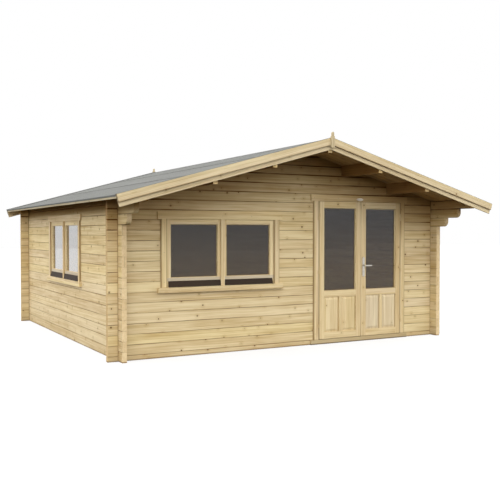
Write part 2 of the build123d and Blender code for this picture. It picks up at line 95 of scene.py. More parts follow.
class Face(Enum):
    """The wall that a frame is set in: its level run and its upright run."""

    FRONT = (Run.ALONG_X, Run.UP_FRONT)
    SIDE = (Run.ALONG_Y, Run.UP_SIDE)

    @property
    def axes(self) -> tuple[np.ndarray, np.ndarray]:
        """Unit vectors across the wall and off it."""
        return (RIGHT, OUT) if self is Face.FRONT else (OUT, -RIGHT)

    def placed(self, along: np.ndarray | float, depth: float, height: np.ndarray) -> np.ndarray:
        """Points in space: distances along the wall, the wall plane's own coordinate, and heights.

        Args:
            along: Distances along the wall.
            depth: The wall plane's own coordinate.
            height: Heights.

        Returns:
            Rows of points.
        """
        order = (along, depth, height) if self is Face.FRONT else (depth, along, height)
        return np.stack(np.broadcast_arrays(*order), axis=-1)


class Graph:
    """A node tree, with one short call for each kind of node that the finishes use."""

    def __init__(self, tree: bpy.types.NodeTree) -> None:
        """Keeps the tree that the calls add to."""
        self.tree = tree

    def node(self, kind: str, **settings: object) -> bpy.types.Node:
        """Adds a node.

        Args:
            kind: The node's type name.
            settings: Properties to set on it.

        Returns:
            The node.
        """
        made = self.tree.nodes.new(kind)
        for name, value in settings.items():
            setattr(made, name, value)
        return made

    def feed(self, socket: bpy.types.NodeSocket, value: Input) -> None:
        """Links a socket to another one, or sets its plain value.

        Args:
            socket: The input to feed.
            value: The socket or the value that it takes.
        """
        if isinstance(value, bpy.types.NodeSocket):
            self.tree.links.new(value, socket)
        else:
            socket.default_value = value

    def fed(
        self, kind: str, sockets: Iterable[int | str], values: Iterable[Input], **settings: object
    ) -> bpy.types.Node:
        """Adds a node and feeds some of its inputs.

        Args:
            kind: The node's type name.
            sockets: Names or numbers of the inputs.
            values: What each of them takes, in the same order.
            settings: Properties to set on the node.

        Returns:
            The node.
        """
        made = self.node(kind, **settings)
        for socket, value in zip(sockets, values):
            self.feed(made.inputs[socket], value)
        return made

    def math(self, operation: str, *values: Input) -> bpy.types.NodeSocket:
        """Works out one number from others, by the Math node's operation."""
        return self.fed("ShaderNodeMath", range(3), values, operation=operation).outputs[0]

    def times(self, value: Input, factor: Input) -> bpy.types.NodeSocket:
        """A number times another one."""
        return self.math("MULTIPLY", value, factor)

    def minus(self, value: Input, less: Input) -> bpy.types.NodeSocket:
        """A number less another one."""
        return self.math("SUBTRACT", value, less)

    def scaled(self, value: Input, factor: Input, start: Input) -> bpy.types.NodeSocket:
        """A number times a factor, plus a start."""
        return self.math("MULTIPLY_ADD", value, factor, start)

    def most(self, value: Input, other: Input) -> bpy.types.NodeSocket:
        """The larger of two numbers."""
        return self.math("MAXIMUM", value, other)

    def apart(self, value: Input, other: Input) -> bpy.types.NodeSocket:
        """How far two numbers lie apart."""
        return self.math("ABSOLUTE", self.minus(value, other))

    def within(self, value: Input, low: float, high: float) -> bpy.types.NodeSocket:
        """1 where a number lies between two bounds, and 0 elsewhere."""
        return self.math("COMPARE", value, (low + high) / 2, (high - low) / 2)

    def layered(self, start: Input, *layers: tuple[Input, float]) -> Input:
        """Adds patterns around 0.5 to a number: start + the sum of weight * (pattern - 0.5).

        Args:
            start: The number without the patterns.
            layers: Each pattern with its weight.

        Returns:
            The sum.
        """
        for pattern, weight in layers:
            start = self.scaled(self.minus(pattern, 0.5), weight, start)
        return start

    def vector(self, operation: str, *values: Input) -> bpy.types.NodeSocket:
        """Works out a vector, or for LENGTH a number, from vectors."""
        made = self.fed("ShaderNodeVectorMath", range(3), values, operation=operation)
        return made.outputs["Value" if operation == "LENGTH" else "Vector"]

    def ramp(self, value: Input, start: Input, end: Input) -> bpy.types.NodeSocket:
        """Rises smoothly from 0 at start to 1 at end, either of which may be the larger."""
        smooth = {"interpolation_type": "SMOOTHSTEP"}
        return self.fed("ShaderNodeMapRange", range(3), (value, start, end), **smooth).outputs[0]

    def mix(self, share: Input, low: Input, high: Input) -> bpy.types.NodeSocket:
        """Mixes two colours: low where the share is 0, high where it is 1."""
        return self.fed("ShaderNodeMix", (0, 6, 7), (share, low, high), data_type="RGBA").outputs[2]

    def shade(self, colour: Input, factor: Input) -> bpy.types.NodeSocket:
        """Multiplies a colour by another one."""
        settings = {"data_type": "RGBA", "blend_type": "MULTIPLY"}
        return self.fed("ShaderNodeMix", (0, 6, 7), (1.0, colour, factor), **settings).outputs[2]

    def choose(self, share: Input, low: Input, high: Input) -> bpy.types.NodeSocket:
        """Mixes two vectors: low where the share is 0, high where it is 1."""
        return self.fed("ShaderNodeMix", (0, 4, 5), (share, low, high), data_type="VECTOR").outputs[1]

    def noise(self, place: Input, stretch: Sequence[float], detail: float = 2.0) -> bpy.types.NodeSocket:
        """Cloudy noise around 0.5, stretched by a factor on each axis.

        Args:
            place: Where on the piece, in metres.
            stretch: Cycles in a metre along each coordinate.
            detail: How many finer octaves are added.

        Returns:
            The noise value's socket.
        """
        given = {"Vector": self.vector("MULTIPLY", place, stretch), "Scale": 1.0, "Detail": detail}
        return self.fed("ShaderNodeTexNoise", given, given.values()).outputs[0]

    def dice(self, seed: Input) -> Sequence[bpy.types.NodeSocket]:
        """Three numbers from 0 to 1 that depend only on a seed number."""
        made = self.fed("ShaderNodeTexWhiteNoise", ("W",), (seed,), noise_dimensions="1D")
        return self.split(made.outputs["Color"])

    def split(self, place: Input) -> Sequence[bpy.types.NodeSocket]:
        """The three numbers of a vector."""
        return self.fed("ShaderNodeSeparateXYZ", (0,), (place,)).outputs

    def join(self, *values: Input) -> bpy.types.NodeSocket:
        """The vector of three numbers."""
        return self.fed("ShaderNodeCombineXYZ", range(3), values).outputs[0]

    def turned(self, place: Input, run: Run) -> bpy.types.NodeSocket:
        """A vector with its numbers put in the order of a run."""
        numbers = self.split(place)
        return self.join(*(numbers[i] for i in run.value))

    def use(self, group: bpy.types.NodeTree, **inputs: Input) -> bpy.types.Node:
        """Places a shared group, with values or sockets for its inputs by name."""
        return self.fed("ShaderNodeGroup", inputs, inputs.values(), node_tree=group)


class SharedGroup:
    """A shader node group under construction, with its named inputs and outputs."""

    def __init__(self, name: str, inputs: dict[str, str], outputs: dict[str, str]) -> None:
        """Makes the group's sockets.

        Args:
            name: The group's name.
            inputs: Kind of each input by name: Float, Vector or Color.
            outputs: Kind of each output by name.
        """
        self.tree = bpy.data.node_groups.new(name, "ShaderNodeTree")
        for way, sockets in (("INPUT", inputs), ("OUTPUT", outputs)):
            for socket, kind in sockets.items():
                self.tree.interface.new_socket(socket, in_out=way, socket_type=f"NodeSocket{kind}")
        self.graph = Graph(self.tree)
        self.given = self.graph.node("NodeGroupInput").outputs
        self.asked = self.graph.node("NodeGroupOutput").inputs

    def give(self, **values: Input) -> bpy.types.NodeTree:
        """Feeds the group's outputs.

        Args:
            values: What each output takes, by name.

        Returns:
            The finished tree.
        """
        for name, value in values.items():
            self.graph.feed(self.asked[name], value)
        return self.tree


class Effects:
    """The shader node groups that several finishes share."""

    def __init__(self) -> None:
        """Builds each group once."""
        self.timber = self.timber_group()
        self.courses = self.courses_group()
        self.end_grain = self.end_grain_group()
        self.slope = self.slope_group()
        self.speckle = self.speckle_group()

    @staticmethod
    def timber_group() -> bpy.types.NodeTree:
        """Sawn softwood: yearly lines along the grain that bend round scattered knots, over slow streaks.

        Returns:
            The group. Place is along, through and across the grain in metres, and Seed tells boards apart.
        """
        colours = {"Pale": "Color", "Deep": "Color", "Knot": "Color"}
        group = SharedGroup(
            "timber",
            {"Place": "Vector", "Seed": "Float", **colours, "Knots": "Float"},
            {"Color": "Color", "Roughness": "Float", "Height": "Float"},
        )
        g, given = group.graph, group.given
        luck = g.dice(given["Seed"])
        jump_along, jump_across = 40.0, 9.0
        jump = g.join(g.times(luck[0], jump_along), 0.0, g.times(luck[1], jump_across))
        place = g.vector("ADD", given["Place"], jump)
        along, through, across = g.split(place)

        knot_cell = (0.36, 0.1, 0.0)
        knot_least, knot_spread = 0.0045, 0.0085
        knot_rim, knot_core = 1.25, 0.6
        knot_faintest = 0.25
        halo_far, halo_near = 0.05, 0.008
        cell = g.join(g.math("DIVIDE", along, knot_cell[0]), g.math("DIVIDE", across, knot_cell[1]), 0.0)
        scatter = g.fed("ShaderNodeTexVoronoi", ("Vector", "Scale"), (cell, 1.0), voronoi_dimensions="2D")
        offset = g.vector("MULTIPLY", g.vector("SUBTRACT", cell, scatter.outputs["Position"]), knot_cell)
        reach = g.vector("LENGTH", offset)
        size, chance, depth = g.split(scatter.outputs["Color"])
        radius = g.scaled(size, knot_spread, knot_least)
        there = g.math("LESS_THAN", chance, given["Knots"])
        body = g.ramp(reach, g.times(radius, knot_rim), g.times(radius, knot_core))
        knot = g.times(g.times(body, there), g.scaled(depth, 1.0 - knot_faintest, knot_faintest))
        halo = g.times(g.ramp(reach, halo_far, halo_near), there)

        warp_width, halo_width, slant, ring_turn = 0.075, 0.012, 0.6, 480.0
        warp = g.noise(place, (0.6, 4.0, 5.0))
        bent = g.scaled(warp, warp_width, g.scaled(halo, halo_width, across))
        rings = g.math("SINE", g.times(g.scaled(through, slant, bent), ring_turn))
        lines = g.scaled(rings, 0.5, 0.5)
        fine = g.noise(place, (5.0, 240.0, 240.0))
        streak = g.noise(place, (0.7, 8.0, 16.0), 3.0)
        thread = g.noise(place, (1.4, 40.0, 62.0))
        cloud = g.noise(place, (2.3, 5.0, 7.0))

        deep_share, halo_share = 0.38, 0.22
        figure = ((streak, 1.3), (thread, 1.5), (cloud, 0.7), (lines, 0.26), (fine, 0.5), (luck[2], 0.34))
        share = g.scaled(halo, halo_share, g.layered(deep_share, *figure))
        colour = g.mix(g.math("MINIMUM", g.most(share, 0.0), 1.0), given["Pale"], given["Deep"])
        dull_least, dull_spread, blue_least, blue_spread = 0.95, 0.07, 0.9, 0.09
        dull = g.scaled(luck[1], dull_spread, dull_least)
        colour = g.shade(colour, g.join(dull, dull, g.scaled(luck[0], blue_spread, blue_least)))
        rough_least, rough_line, rough_fine = 0.46, 0.06, 0.22
        rough = g.scaled(fine, rough_fine, g.scaled(lines, rough_line, rough_least))
        line_height, knot_sink = 0.45, 0.4
        height = g.scaled(lines, line_height, g.minus(fine, g.times(knot, knot_sink)))
        return group.give(Color=g.mix(knot, colour, given["Knot"]), Roughness=rough, Height=height)

    @staticmethod
    def courses_group() -> bpy.types.NodeTree:
        """Stacked logs: which log a point is on, how high up in that log, and how near its joint.

        Returns:
            The group. Seam is up to 1 in the joint, within Reach of it, and fades by turns along it. Level
            goes from -0.5 to 0.5 over a log's height.
        """
        group = SharedGroup(
            "log_courses", {"Place": "Vector", "Lift": "Float", "Reach": "Float"},
            {"Number": "Float", "Seam": "Float", "Level": "Float"},
        )
        g, given = group.graph, group.given
        stack = g.math("DIVIDE", g.minus(g.split(given["Place"])[2], given["Lift"]), COURSE)
        level = g.minus(g.math("FRACT", stack), 0.5)
        edge = g.times(g.minus(0.5, g.math("ABSOLUTE", level)), COURSE)
        faintest, core, fade_low, fade_high = 0.35, 0.37, 0.3, 0.66
        fade = g.ramp(g.noise(given["Place"], (1.7, 2.0, 6.0), 3.0), fade_low, fade_high)
        joint = g.ramp(edge, given["Reach"], g.times(given["Reach"], core))
        seam = g.times(joint, g.scaled(fade, 1.0 - faintest, faintest))
        return group.give(Number=g.math("FLOOR", stack), Seam=seam, Level=level)

    @staticmethod
    def end_grain_group() -> bpy.types.NodeTree:
        """Sawn ends: rings about a pith that lies off each log's middle, with a dark drying crack.

        Returns:
            The group. Mask is 1 where the surface faces along the grain.
        """
        numbers = {"Level": "Float", "Middle": "Float", "Seed": "Float"}
        group = SharedGroup(
            "end_grain",
            {"Place": "Vector", "Facing": "Vector", **numbers, "Pale": "Color", "Deep": "Color"},
            {"Color": "Color", "Mask": "Float"},
        )
        g, given = group.graph, group.given
        seed_step, pith_spread, ring_turn, ring_wobble = 0.37, 0.05, 1150.0, 5.0
        luck = g.dice(g.math("ADD", given["Seed"], seed_step))
        pith = g.times(g.minus(luck[0], 0.5), pith_spread)
        wide = g.minus(g.minus(g.split(given["Place"])[1], given["Middle"]), pith)
        high = g.times(g.minus(given["Level"], g.minus(luck[1], 0.5)), COURSE)
        reach = g.vector("LENGTH", g.join(wide, high, 0.0))
        cloud = g.noise(given["Place"], (30.0, 30.0, 30.0), 3.0)
        rings = g.math("SINE", g.scaled(reach, ring_turn, g.times(cloud, ring_wobble)))
        ring_share, luck_share, pale_share = 0.2, 0.35, 0.2
        share = g.scaled(rings, ring_share, g.scaled(luck[2], luck_share, cloud))
        crack_rim, crack_core, uncracked, crack_share = 0.0016, 0.0004, 0.55, 0.7
        crack = g.ramp(g.math("ABSOLUTE", wide), crack_rim, crack_core)
        split = g.times(crack, g.math("GREATER_THAN", luck[2], uncracked))
        colour = g.mix(g.minus(share, pale_share), given["Pale"], given["Deep"])
        colour = g.mix(g.times(split, crack_share), colour, tone(92, 66, 36))
        facing = g.math("ABSOLUTE", g.split(given["Facing"])[0])
        return group.give(Color=colour, Mask=g.ramp(facing, *END_FACING))

    @staticmethod
    def slope_group() -> bpy.types.NodeTree:
        """Roof coordinates: down the slope, along the ridge and up off the slope, the same on both sides.

        Returns:
            The group. Side is 0 on the left slope and 1 on the right one.
        """
        group = SharedGroup("roof_slope", {"Place": "Vector"}, {"Place": "Vector", "Side": "Float"})
        g, given = group.graph, group.given
        x, y, z = g.split(given["Place"])
        out, rise = g.math("ABSOLUTE", x), g.minus(z, RIDGE)
        level, steep = math.cos(PITCH), math.sin(PITCH)
        down = g.minus(g.times(out, level), g.times(rise, steep))
        off = g.math("ADD", g.times(out, steep), g.times(rise, level))
        return group.give(Place=g.join(down, y, off), Side=g.math("GREATER_THAN", x, 0.0))

    @staticmethod
    def speckle_group() -> bpy.types.NodeTree:
        """Mineral or dusty speckle: fine grains over slow clouds.

        Returns:
            The group. Grain is the fine part, and Cloud the slow one, both around 0.5.
        """
        group = SharedGroup(
            "speckle", {"Place": "Vector", "Scale": "Float"}, {"Grain": "Float", "Cloud": "Float"}
        )
        g, given = group.graph, group.given
        scaled = g.vector("MULTIPLY", given["Place"], g.join(*(given["Scale"],) * 3))
        grain = g.noise(scaled, (1.0, 1.0, 1.0), 3.0)
        return group.give(Grain=grain, Cloud=g.noise(given["Place"], (1.6, 1.6, 1.6), 4.0))


class Coat:
    """A material under construction: its graph, its Principled shader and the place on the piece."""

    def __init__(self, name: str) -> None:
        """Makes the node material and finds its shader.

        Args:
            name: The material's name.
        """
        self.material = bpy.data.materials.new(name)
        self.material.use_nodes = True
        self.graph = Graph(self.material.node_tree)
        self.shader = self.material.node_tree.nodes["Principled BSDF"]
        where = self.graph.node("ShaderNodeTexCoord")
        self.place = where.outputs["Object"]
        self.facing = where.outputs["Normal"]

    def set(self, **values: Input) -> None:
        """Feeds the shader's sockets, whose spaces are written as underscores."""
        for name, value in values.items():
            self.graph.feed(self.shader.inputs[name.replace("_", " ")], value)

    def bump(self, height: Input, distance: float) -> None:
        """Raises the surface's shading by a height pattern.

        Args:
            height: The pattern, around 0 to 1.
            distance: What a height of 1 stands for, in metres.
        """
        given = {"Height": height, "Distance": distance, "Strength": 1.0}
        self.set(Normal=self.graph.fed("ShaderNodeBump", given, given.values()).outputs[0])

    def under_roof(self, effects: Effects) -> bpy.types.NodeSocket:
        """How far off the roof's underside the point lies, negative below it."""
        return self.graph.split(self.graph.use(effects.slope, Place=self.place).outputs["Place"])[2]


@dataclass(frozen=True)
class Timber:
    """The tones of one kind of softwood, and how knotty it is."""

    pale: Colour
    deep: Colour
    knot: Colour
    knots: float

    def grain(self, coat: Coat, effects: Effects, place: Input, seed: Input) -> bpy.types.Node:
        """Places the timber group with these tones.

        Args:
            coat: The material under construction.
            effects: The shared groups.
            place: Along, through and across the grain.
            seed: The number that tells boards apart.

        Returns:
            The group node.
        """
        return coat.graph.use(
            effects.timber, Place=place, Seed=seed,
            Pale=self.pale, Deep=self.deep, Knot=self.knot, Knots=self.knots,
        )


@dataclass(frozen=True)
class GrimeAndShade:
    """A darker tone along a line or a height, used for grime and wear and for painted shade: the distances
    between which it comes in, its share and its tone.
    """

    fade: Span
    share: float
    colour: Colour

    def over(self, g: Graph, distance: Input, colour: Input, where: Input = 1.0) -> bpy.types.NodeSocket:
        """Lays the darker tone over a colour.

        Args:
            g: The graph to add to.
            distance: The distance that the tone fades by.
            colour: The plain colour.
            where: 1 where the tone may lie, 0 elsewhere.

        Returns:
            The darkened colour's socket.
        """
        amount = g.times(g.ramp(distance, *self.fade), where)
        return g.mix(g.times(amount, self.share), colour, self.colour)


@dataclass(frozen=True)
class RoofShade:
    """Painted shade under the roof: how far below the roof's underside a darker tone starts, the distances
    between which a darkest painted band comes in right under it, that band's share, and the darker tone as a
    factor."""

    reach: float
    band: Span = (-0.13, -0.03)
    share: float = 0.0
    tint: Colour = (0.64, 0.51, 0.35, 1.0)

    def amount(self, g: Graph, under: Input) -> bpy.types.NodeSocket:
        """How much painted shade a point gets: 0 in the open, 1 right under the roof."""
        return g.ramp(under, -self.reach, 0.0)

    def shaded_under_roof(self, g: Graph, amount: Input, colour: Input) -> bpy.types.NodeSocket:
        """A colour with the painted shade's darker tone over it, by that amount."""
        return g.mix(amount, colour, g.shade(colour, self.tint))


@dataclass(frozen=True)
class Opening:
    """An opening in a wall: its middle, the heights that it cuts logs between, and half its trims' span."""

    middle: float
    foot: float
    top: float
    trim: float


@dataclass(frozen=True)
class LogFinish:
    """Stacked wall logs: each log its own board, a dark joint between them, and sawn ends. Painted shade
    lies where
    the roof overhangs them: a darker tone, a darkest band right under the eaves, and joints painted wider
    and darker there. The joints are faint on the ends. Painted shade also lies along the wall's foot and
    beside trims and crossing logs."""

    name: str
    timber: Timber
    ends: tuple[Colour, Colour]
    run: Run
    lift: float
    middle: float
    start: float
    roof: RoofShade
    crossings: tuple[float, ...]
    openings: tuple[Opening, ...] = ()
    far_log_step: float = 37.0
    seam_reach: float = 0.006
    # Painted shade: the joints widen and darken under the roof, the logs darken along the wall's foot and
    # beside trims and crossing logs, and a darkest band lies under the eaves.
    seam_shade_widening: float = 0.006
    seam_share: float = 0.69
    seam_shade_deepening: float = 0.55
    seam_end_loss: float = 0.5
    ground_shade_heights: Span = (0.022, 0.004)
    ground_shade_share: float = 0.68
    shade_line_fade: Span = (0.014, 0.003)
    shade_line_share: float = 0.5
    joint_and_shade_tone: Colour = tone(98, 58, 8)
    eave_shade_tone: Colour = tone(112, 78, 14)
    joint_and_shade_roughness: float = 0.4
    gloss: float = 0.1
    relief: float = 0.0006

    def material(self, effects: Effects) -> bpy.types.Material:
        """Makes the logs' material.

        Args:
            effects: The shared groups.

        Returns:
            The material.
        """
        coat = Coat(self.name)
        g = coat.graph
        place, facing = g.turned(coat.place, self.run), g.turned(coat.facing, self.run)
        under = coat.under_roof(effects)
        # Painted shade under the roof: a darker tone, and wider, darker joints, the nearer the roof's
        # underside.
        roof_shade = self.roof.amount(g, under)
        reach = g.scaled(roof_shade, self.seam_shade_widening, self.seam_reach)
        course = g.use(effects.courses, Place=place, Lift=self.lift, Reach=reach).outputs
        seed = g.math("ADD", course["Number"], self.start)
        along, _, height = g.split(place)
        # Painted shade along the edges of each opening's trims and of the logs that cross this wall.
        shade_line = 0.0
        for gap in self.openings:
            beyond = g.math("GREATER_THAN", along, gap.middle)
            beside = g.within(height, gap.foot, gap.top)
            seed = g.scaled(g.times(beyond, beside), self.far_log_step, seed)
            shade_line = g.most(shade_line, g.times(self.edges(g, along, gap.middle, gap.trim), beside))
        for crossing in self.crossings:
            shade_line = g.most(shade_line, self.edges(g, along, crossing, LOG_THICKNESS / 2))
        grain = self.timber.grain(coat, effects, place, seed).outputs
        end = g.use(
            effects.end_grain, Place=place, Facing=facing, Level=course["Level"],
            Middle=self.middle, Seed=seed, Pale=self.ends[0], Deep=self.ends[1],
        ).outputs
        colour = g.mix(end["Mask"], grain["Color"], end["Color"])
        # A darkest band of painted shade right under the eaves.
        band = g.times(g.ramp(under, *self.roof.band), self.roof.share)
        colour = g.mix(band, self.roof.shaded_under_roof(g, roof_shade, colour), self.eave_shade_tone)
        strength = g.scaled(roof_shade, self.seam_shade_deepening, self.seam_share)
        strength = g.scaled(end["Mask"], -self.seam_end_loss, strength)
        # Painted shade along the wall's foot.
        ground_shade = g.times(g.ramp(height, *self.ground_shade_heights), self.ground_shade_share)
        dark = g.most(g.times(course["Seam"], strength), ground_shade)
        dark = g.most(dark, g.times(shade_line, self.shade_line_share))
        rough = g.scaled(g.most(dark, band), self.joint_and_shade_roughness, grain["Roughness"])
        coat.set(Base_Color=g.mix(dark, colour, self.joint_and_shade_tone), Roughness=rough, Specular_IOR_Level=self.gloss)
        coat.bump(grain["Height"], self.relief)
        return coat.material

    def edges(self, g: Graph, along: Input, middle: float, half: float) -> bpy.types.NodeSocket:
        """Painted shade against both edges of a piece that stands on the logs: 1 where along is half from
        middle.
        """
        return g.ramp(g.apart(g.apart(along, middle), half), *self.shade_line_fade)


@dataclass(frozen=True)
class BoardFinish:
    """Plain boards laid side by side, each with its own figure, cut ends, and lines of painted shade at
    given places across them.
    """

    name: str
    timber: Timber
    run: Run
    width: float
    start: float
    sloped: bool = False
    cut: Colour = (0.9, 0.86, 0.8, 1.0)
    shade_lines: tuple[float, ...] = ()
    far_slope_step: float = 61.0
    # Painted shadow lines across the boards.
    shade_line: GrimeAndShade = GrimeAndShade((0.012, 0.003), 0.38, tone(112, 72, 28))
    gloss: float = 0.1
    relief: float = 0.0006

    def material(self, effects: Effects) -> bpy.types.Material:
        """Makes the boards' material. On a slope, the shade lines are distances off it.

        Args:
            effects: The shared groups.

        Returns:
            The material.
        """
        coat = Coat(self.name)
        g = coat.graph
        place, facing, seed = coat.place, coat.facing, self.start
        if self.sloped:
            slope = g.use(effects.slope, Place=coat.place).outputs
            place = slope["Place"]
            seed = g.scaled(slope["Side"], self.far_slope_step, self.start)
            x, y, z = g.split(facing)
            sink = g.times(z, -math.sin(PITCH))
            facing = g.join(g.scaled(g.math("ABSOLUTE", x), math.cos(PITCH), sink), y, z)
        place, facing = g.turned(place, self.run), g.turned(facing, self.run)
        across = g.split(place)[2]
        board = g.math("FLOOR", g.math("DIVIDE", across, self.width))
        grain = self.timber.grain(coat, effects, place, g.math("ADD", board, seed)).outputs
        end = g.ramp(g.math("ABSOLUTE", g.split(facing)[0]), *END_FACING)
        colour = g.mix(end, grain["Color"], g.shade(grain["Color"], self.cut))
        # Painted shadow lines, such as under the barge covers.
        for line in self.shade_lines:
            colour = self.shade_line.over(g, g.apart(across, line), colour)
        coat.set(Base_Color=colour, Roughness=grain["Roughness"], Specular_IOR_Level=self.gloss)
        coat.bump(grain["Height"], self.relief)
        return coat.material


@dataclass(frozen=True)
class ShadeLine:
    """An upright line of painted shade on joinery: its place along the wall, and its foot and top."""

    along: float
    foot: float
    top: float


@dataclass(frozen=True)
class JoineryFinish:
    """Frames, sashes, leaves and trims: grain upright in the uprights, and level in the other members. Each
    upright is low, high, foot and top in the wall's plane, and lit heights is a band of heights painted
    paler as a painted highlight. Painted shade lies along the shade lines, at the foot and, where given,
    under the roof."""

    name: str
    timber: Timber
    face: Face
    start: float
    uprights: tuple[Upright, ...]
    shade_lines: tuple[ShadeLine, ...] = ()
    lit_heights: Span = (0.0, 0.0)
    roof: RoofShade | None = None
    member_width: float = 0.16
    upright_step: float = 41.0
    scuff: GrimeAndShade = GrimeAndShade((0.075, 0.058), 0.5, tone(142, 120, 84))
    # Painted shade along the shade lines and at the foot, and a band painted paler as a highlight.
    shade_line: GrimeAndShade = GrimeAndShade((0.016, 0.003), 0.42, tone(112, 74, 30))
    ground_shade: GrimeAndShade = GrimeAndShade((0.022, 0.004), 0.8, tone(54, 36, 18))
    lit_band_share: float = 0.5
    lit_band_tone: Colour = tone(178, 172, 164)
    gloss: float = 0.15
    relief: float = 0.0004

    def material(self, effects: Effects) -> bpy.types.Material:
        """Makes the joinery's material.

        Args:
            effects: The shared groups.

        Returns:
            The material.
        """
        coat = Coat(self.name)
        g = coat.graph
        level, upright = (g.turned(coat.place, run) for run in self.face.value)
        along, _, height = g.split(level)
        mask = 0.0
        for low, high, foot, top in self.uprights:
            mask = g.most(mask, g.times(g.within(along, low, high), g.within(height, foot, top)))
        place = g.choose(mask, level, upright)
        member = g.math("FLOOR", g.math("DIVIDE", g.split(place)[2], self.member_width))
        seed = g.math("ADD", g.scaled(mask, self.upright_step, self.start), member)
        grain = self.timber.grain(coat, effects, place, seed).outputs
        colour = self.scuff.over(g, height, grain["Color"])
        # A band of heights painted paler, as a painted highlight.
        lit_band = g.within(height, *self.lit_heights)
        colour = g.mix(g.times(lit_band, self.lit_band_share), colour, self.lit_band_tone)
        # Painted shade along the shade lines.
        for line in self.shade_lines:
            beside = g.within(height, line.foot, line.top)
            colour = self.shade_line.over(g, g.apart(along, line.along), colour, beside)
        # Painted shade at the foot.
        colour = self.ground_shade.over(g, height, colour)
        # Painted shade under the roof, where given.
        if self.roof:
            colour = self.roof.shaded_under_roof(g, self.roof.amount(g, coat.under_roof(effects)), colour)
        coat.set(Base_Color=colour, Roughness=grain["Roughness"], Specular_IOR_Level=self.gloss)
        coat.bump(grain["Height"], self.relief)
        return coat.material


@dataclass(frozen=True)
class FeltFinish:
    """Mineral roofing felt: grey grains, faint clouds, each sheet its own shade, and bitumen at the laps."""

    name: str
    light: Colour
    dark: Colour
    sheet: float
    grains: float = 420.0
    far_slope_step: float = 11.0
    dark_share: float = 0.42
    grain_weight: float = 1.7
    cloud_weight: float = 0.32
    sheet_weight: float = 0.08
    contrast: Span = (0.1, 0.9)
    tar: GrimeAndShade = GrimeAndShade((0.014, 0.002), 0.25, tone(52, 52, 50))
    rough: Span = (0.8, 0.15)
    gloss: float = 0.25
    relief: float = 0.0012

    def material(self, effects: Effects) -> bpy.types.Material:
        """Makes the felt's material. Its roughness is a start, plus a part that goes with the grains.

        Args:
            effects: The shared groups.

        Returns:
            The material.
        """
        coat = Coat(self.name)
        g = coat.graph
        speck = g.use(effects.speckle, Place=coat.place, Scale=self.grains).outputs
        slope = g.use(effects.slope, Place=coat.place).outputs
        sheets = g.math("DIVIDE", g.split(slope["Place"])[0], self.sheet)
        luck = g.dice(g.scaled(slope["Side"], self.far_slope_step, g.math("FLOOR", sheets)))[0]
        layers = ((speck["Grain"], self.grain_weight), (speck["Cloud"], self.cloud_weight))
        share = g.scaled(luck, self.sheet_weight, g.layered(self.dark_share, *layers))
        edge = g.times(g.minus(1.0, g.math("FRACT", sheets)), self.sheet)
        colour = self.tar.over(g, edge, g.mix(g.ramp(share, *self.contrast), self.light, self.dark))
        rough = g.scaled(speck["Grain"], self.rough[1], self.rough[0])
        coat.set(Base_Color=colour, Roughness=rough, Specular_IOR_Level=self.gloss)
        coat.bump(speck["Grain"], self.relief)
        return coat.material


@dataclass(frozen=True)
class GlassFinish:
    """Double glass, browner low down and greyer high up as a painted reflection, with a film of dust, and a
    mirror at a glancing angle.
    """

    name: str
    low: Colour
    high: Colour
    # Heights over which a painted reflection turns the glass from brown to grey.
    reflection_heights: Span = (0.8, 1.8)
    grains: float = 60.0
    dust_clouds: Span = (0.45, 0.8)
    dust_share: float = 0.1
    dust_tone: Colour = tone(196, 190, 178)
    rough: Span = (0.07, 0.05)
    mirror: Span = (0.32, 0.6)

    def material(self, effects: Effects) -> bpy.types.Material:
        """Makes the glass. Its roughness is a start, plus a part that goes with the dust.

        Args:
            effects: The shared groups.

        Returns:
            The material.
        """
        coat = Coat(self.name)
        g = coat.graph
        speck = g.use(effects.speckle, Place=coat.place, Scale=self.grains).outputs
        dust = g.ramp(speck["Cloud"], *self.dust_clouds)
        # A painted reflection: browner low down, greyer high up.
        tint = g.mix(g.ramp(g.split(coat.place)[2], *self.reflection_heights), self.low, self.high)
        film = g.mix(g.times(dust, self.dust_share), tint, self.dust_tone)
        glance = g.node("ShaderNodeLayerWeight").outputs["Facing"]
        coat.set(Base_Color=film, Roughness=g.scaled(dust, self.rough[1], self.rough[0]))
        coat.set(Coat_Weight=g.ramp(glance, *self.mirror), Coat_IOR=3.6, Coat_Roughness=0.02)
        coat.set(Transmission_Weight=0.95, IOR=1.5)
        return coat.material


@dataclass(frozen=True)
class MetalFinish:
    """Brushed metal, with brush lines along one run and faint handling marks."""

    name: str
    colour: Colour
    run: Run
    rough: float
    brush_stretch: tuple[float, float, float] = (30.0, 900.0, 900.0)
    brush_rough: float = 0.16
    marks: float = 90.0
    mark_share: float = 0.18
    mark_tone: Colour = tone(120, 116, 108)
    relief: float = 0.0001

    def material(self, effects: Effects) -> bpy.types.Material:
        """Makes the metal's material.

        Args:
            effects: The shared groups.

        Returns:
            The material.
        """
        coat = Coat(self.name)
        g = coat.graph
        brush = g.noise(g.turned(coat.place, self.run), self.brush_stretch)
        speck = g.use(effects.speckle, Place=coat.place, Scale=self.marks).outputs
        worn = g.mix(g.times(speck["Grain"], self.mark_share), self.colour, self.mark_tone)
        coat.set(Base_Color=worn, Metallic=1.0, Roughness=g.scaled(brush, self.brush_rough, self.rough))
        coat.bump(brush, self.relief)
        return coat.material


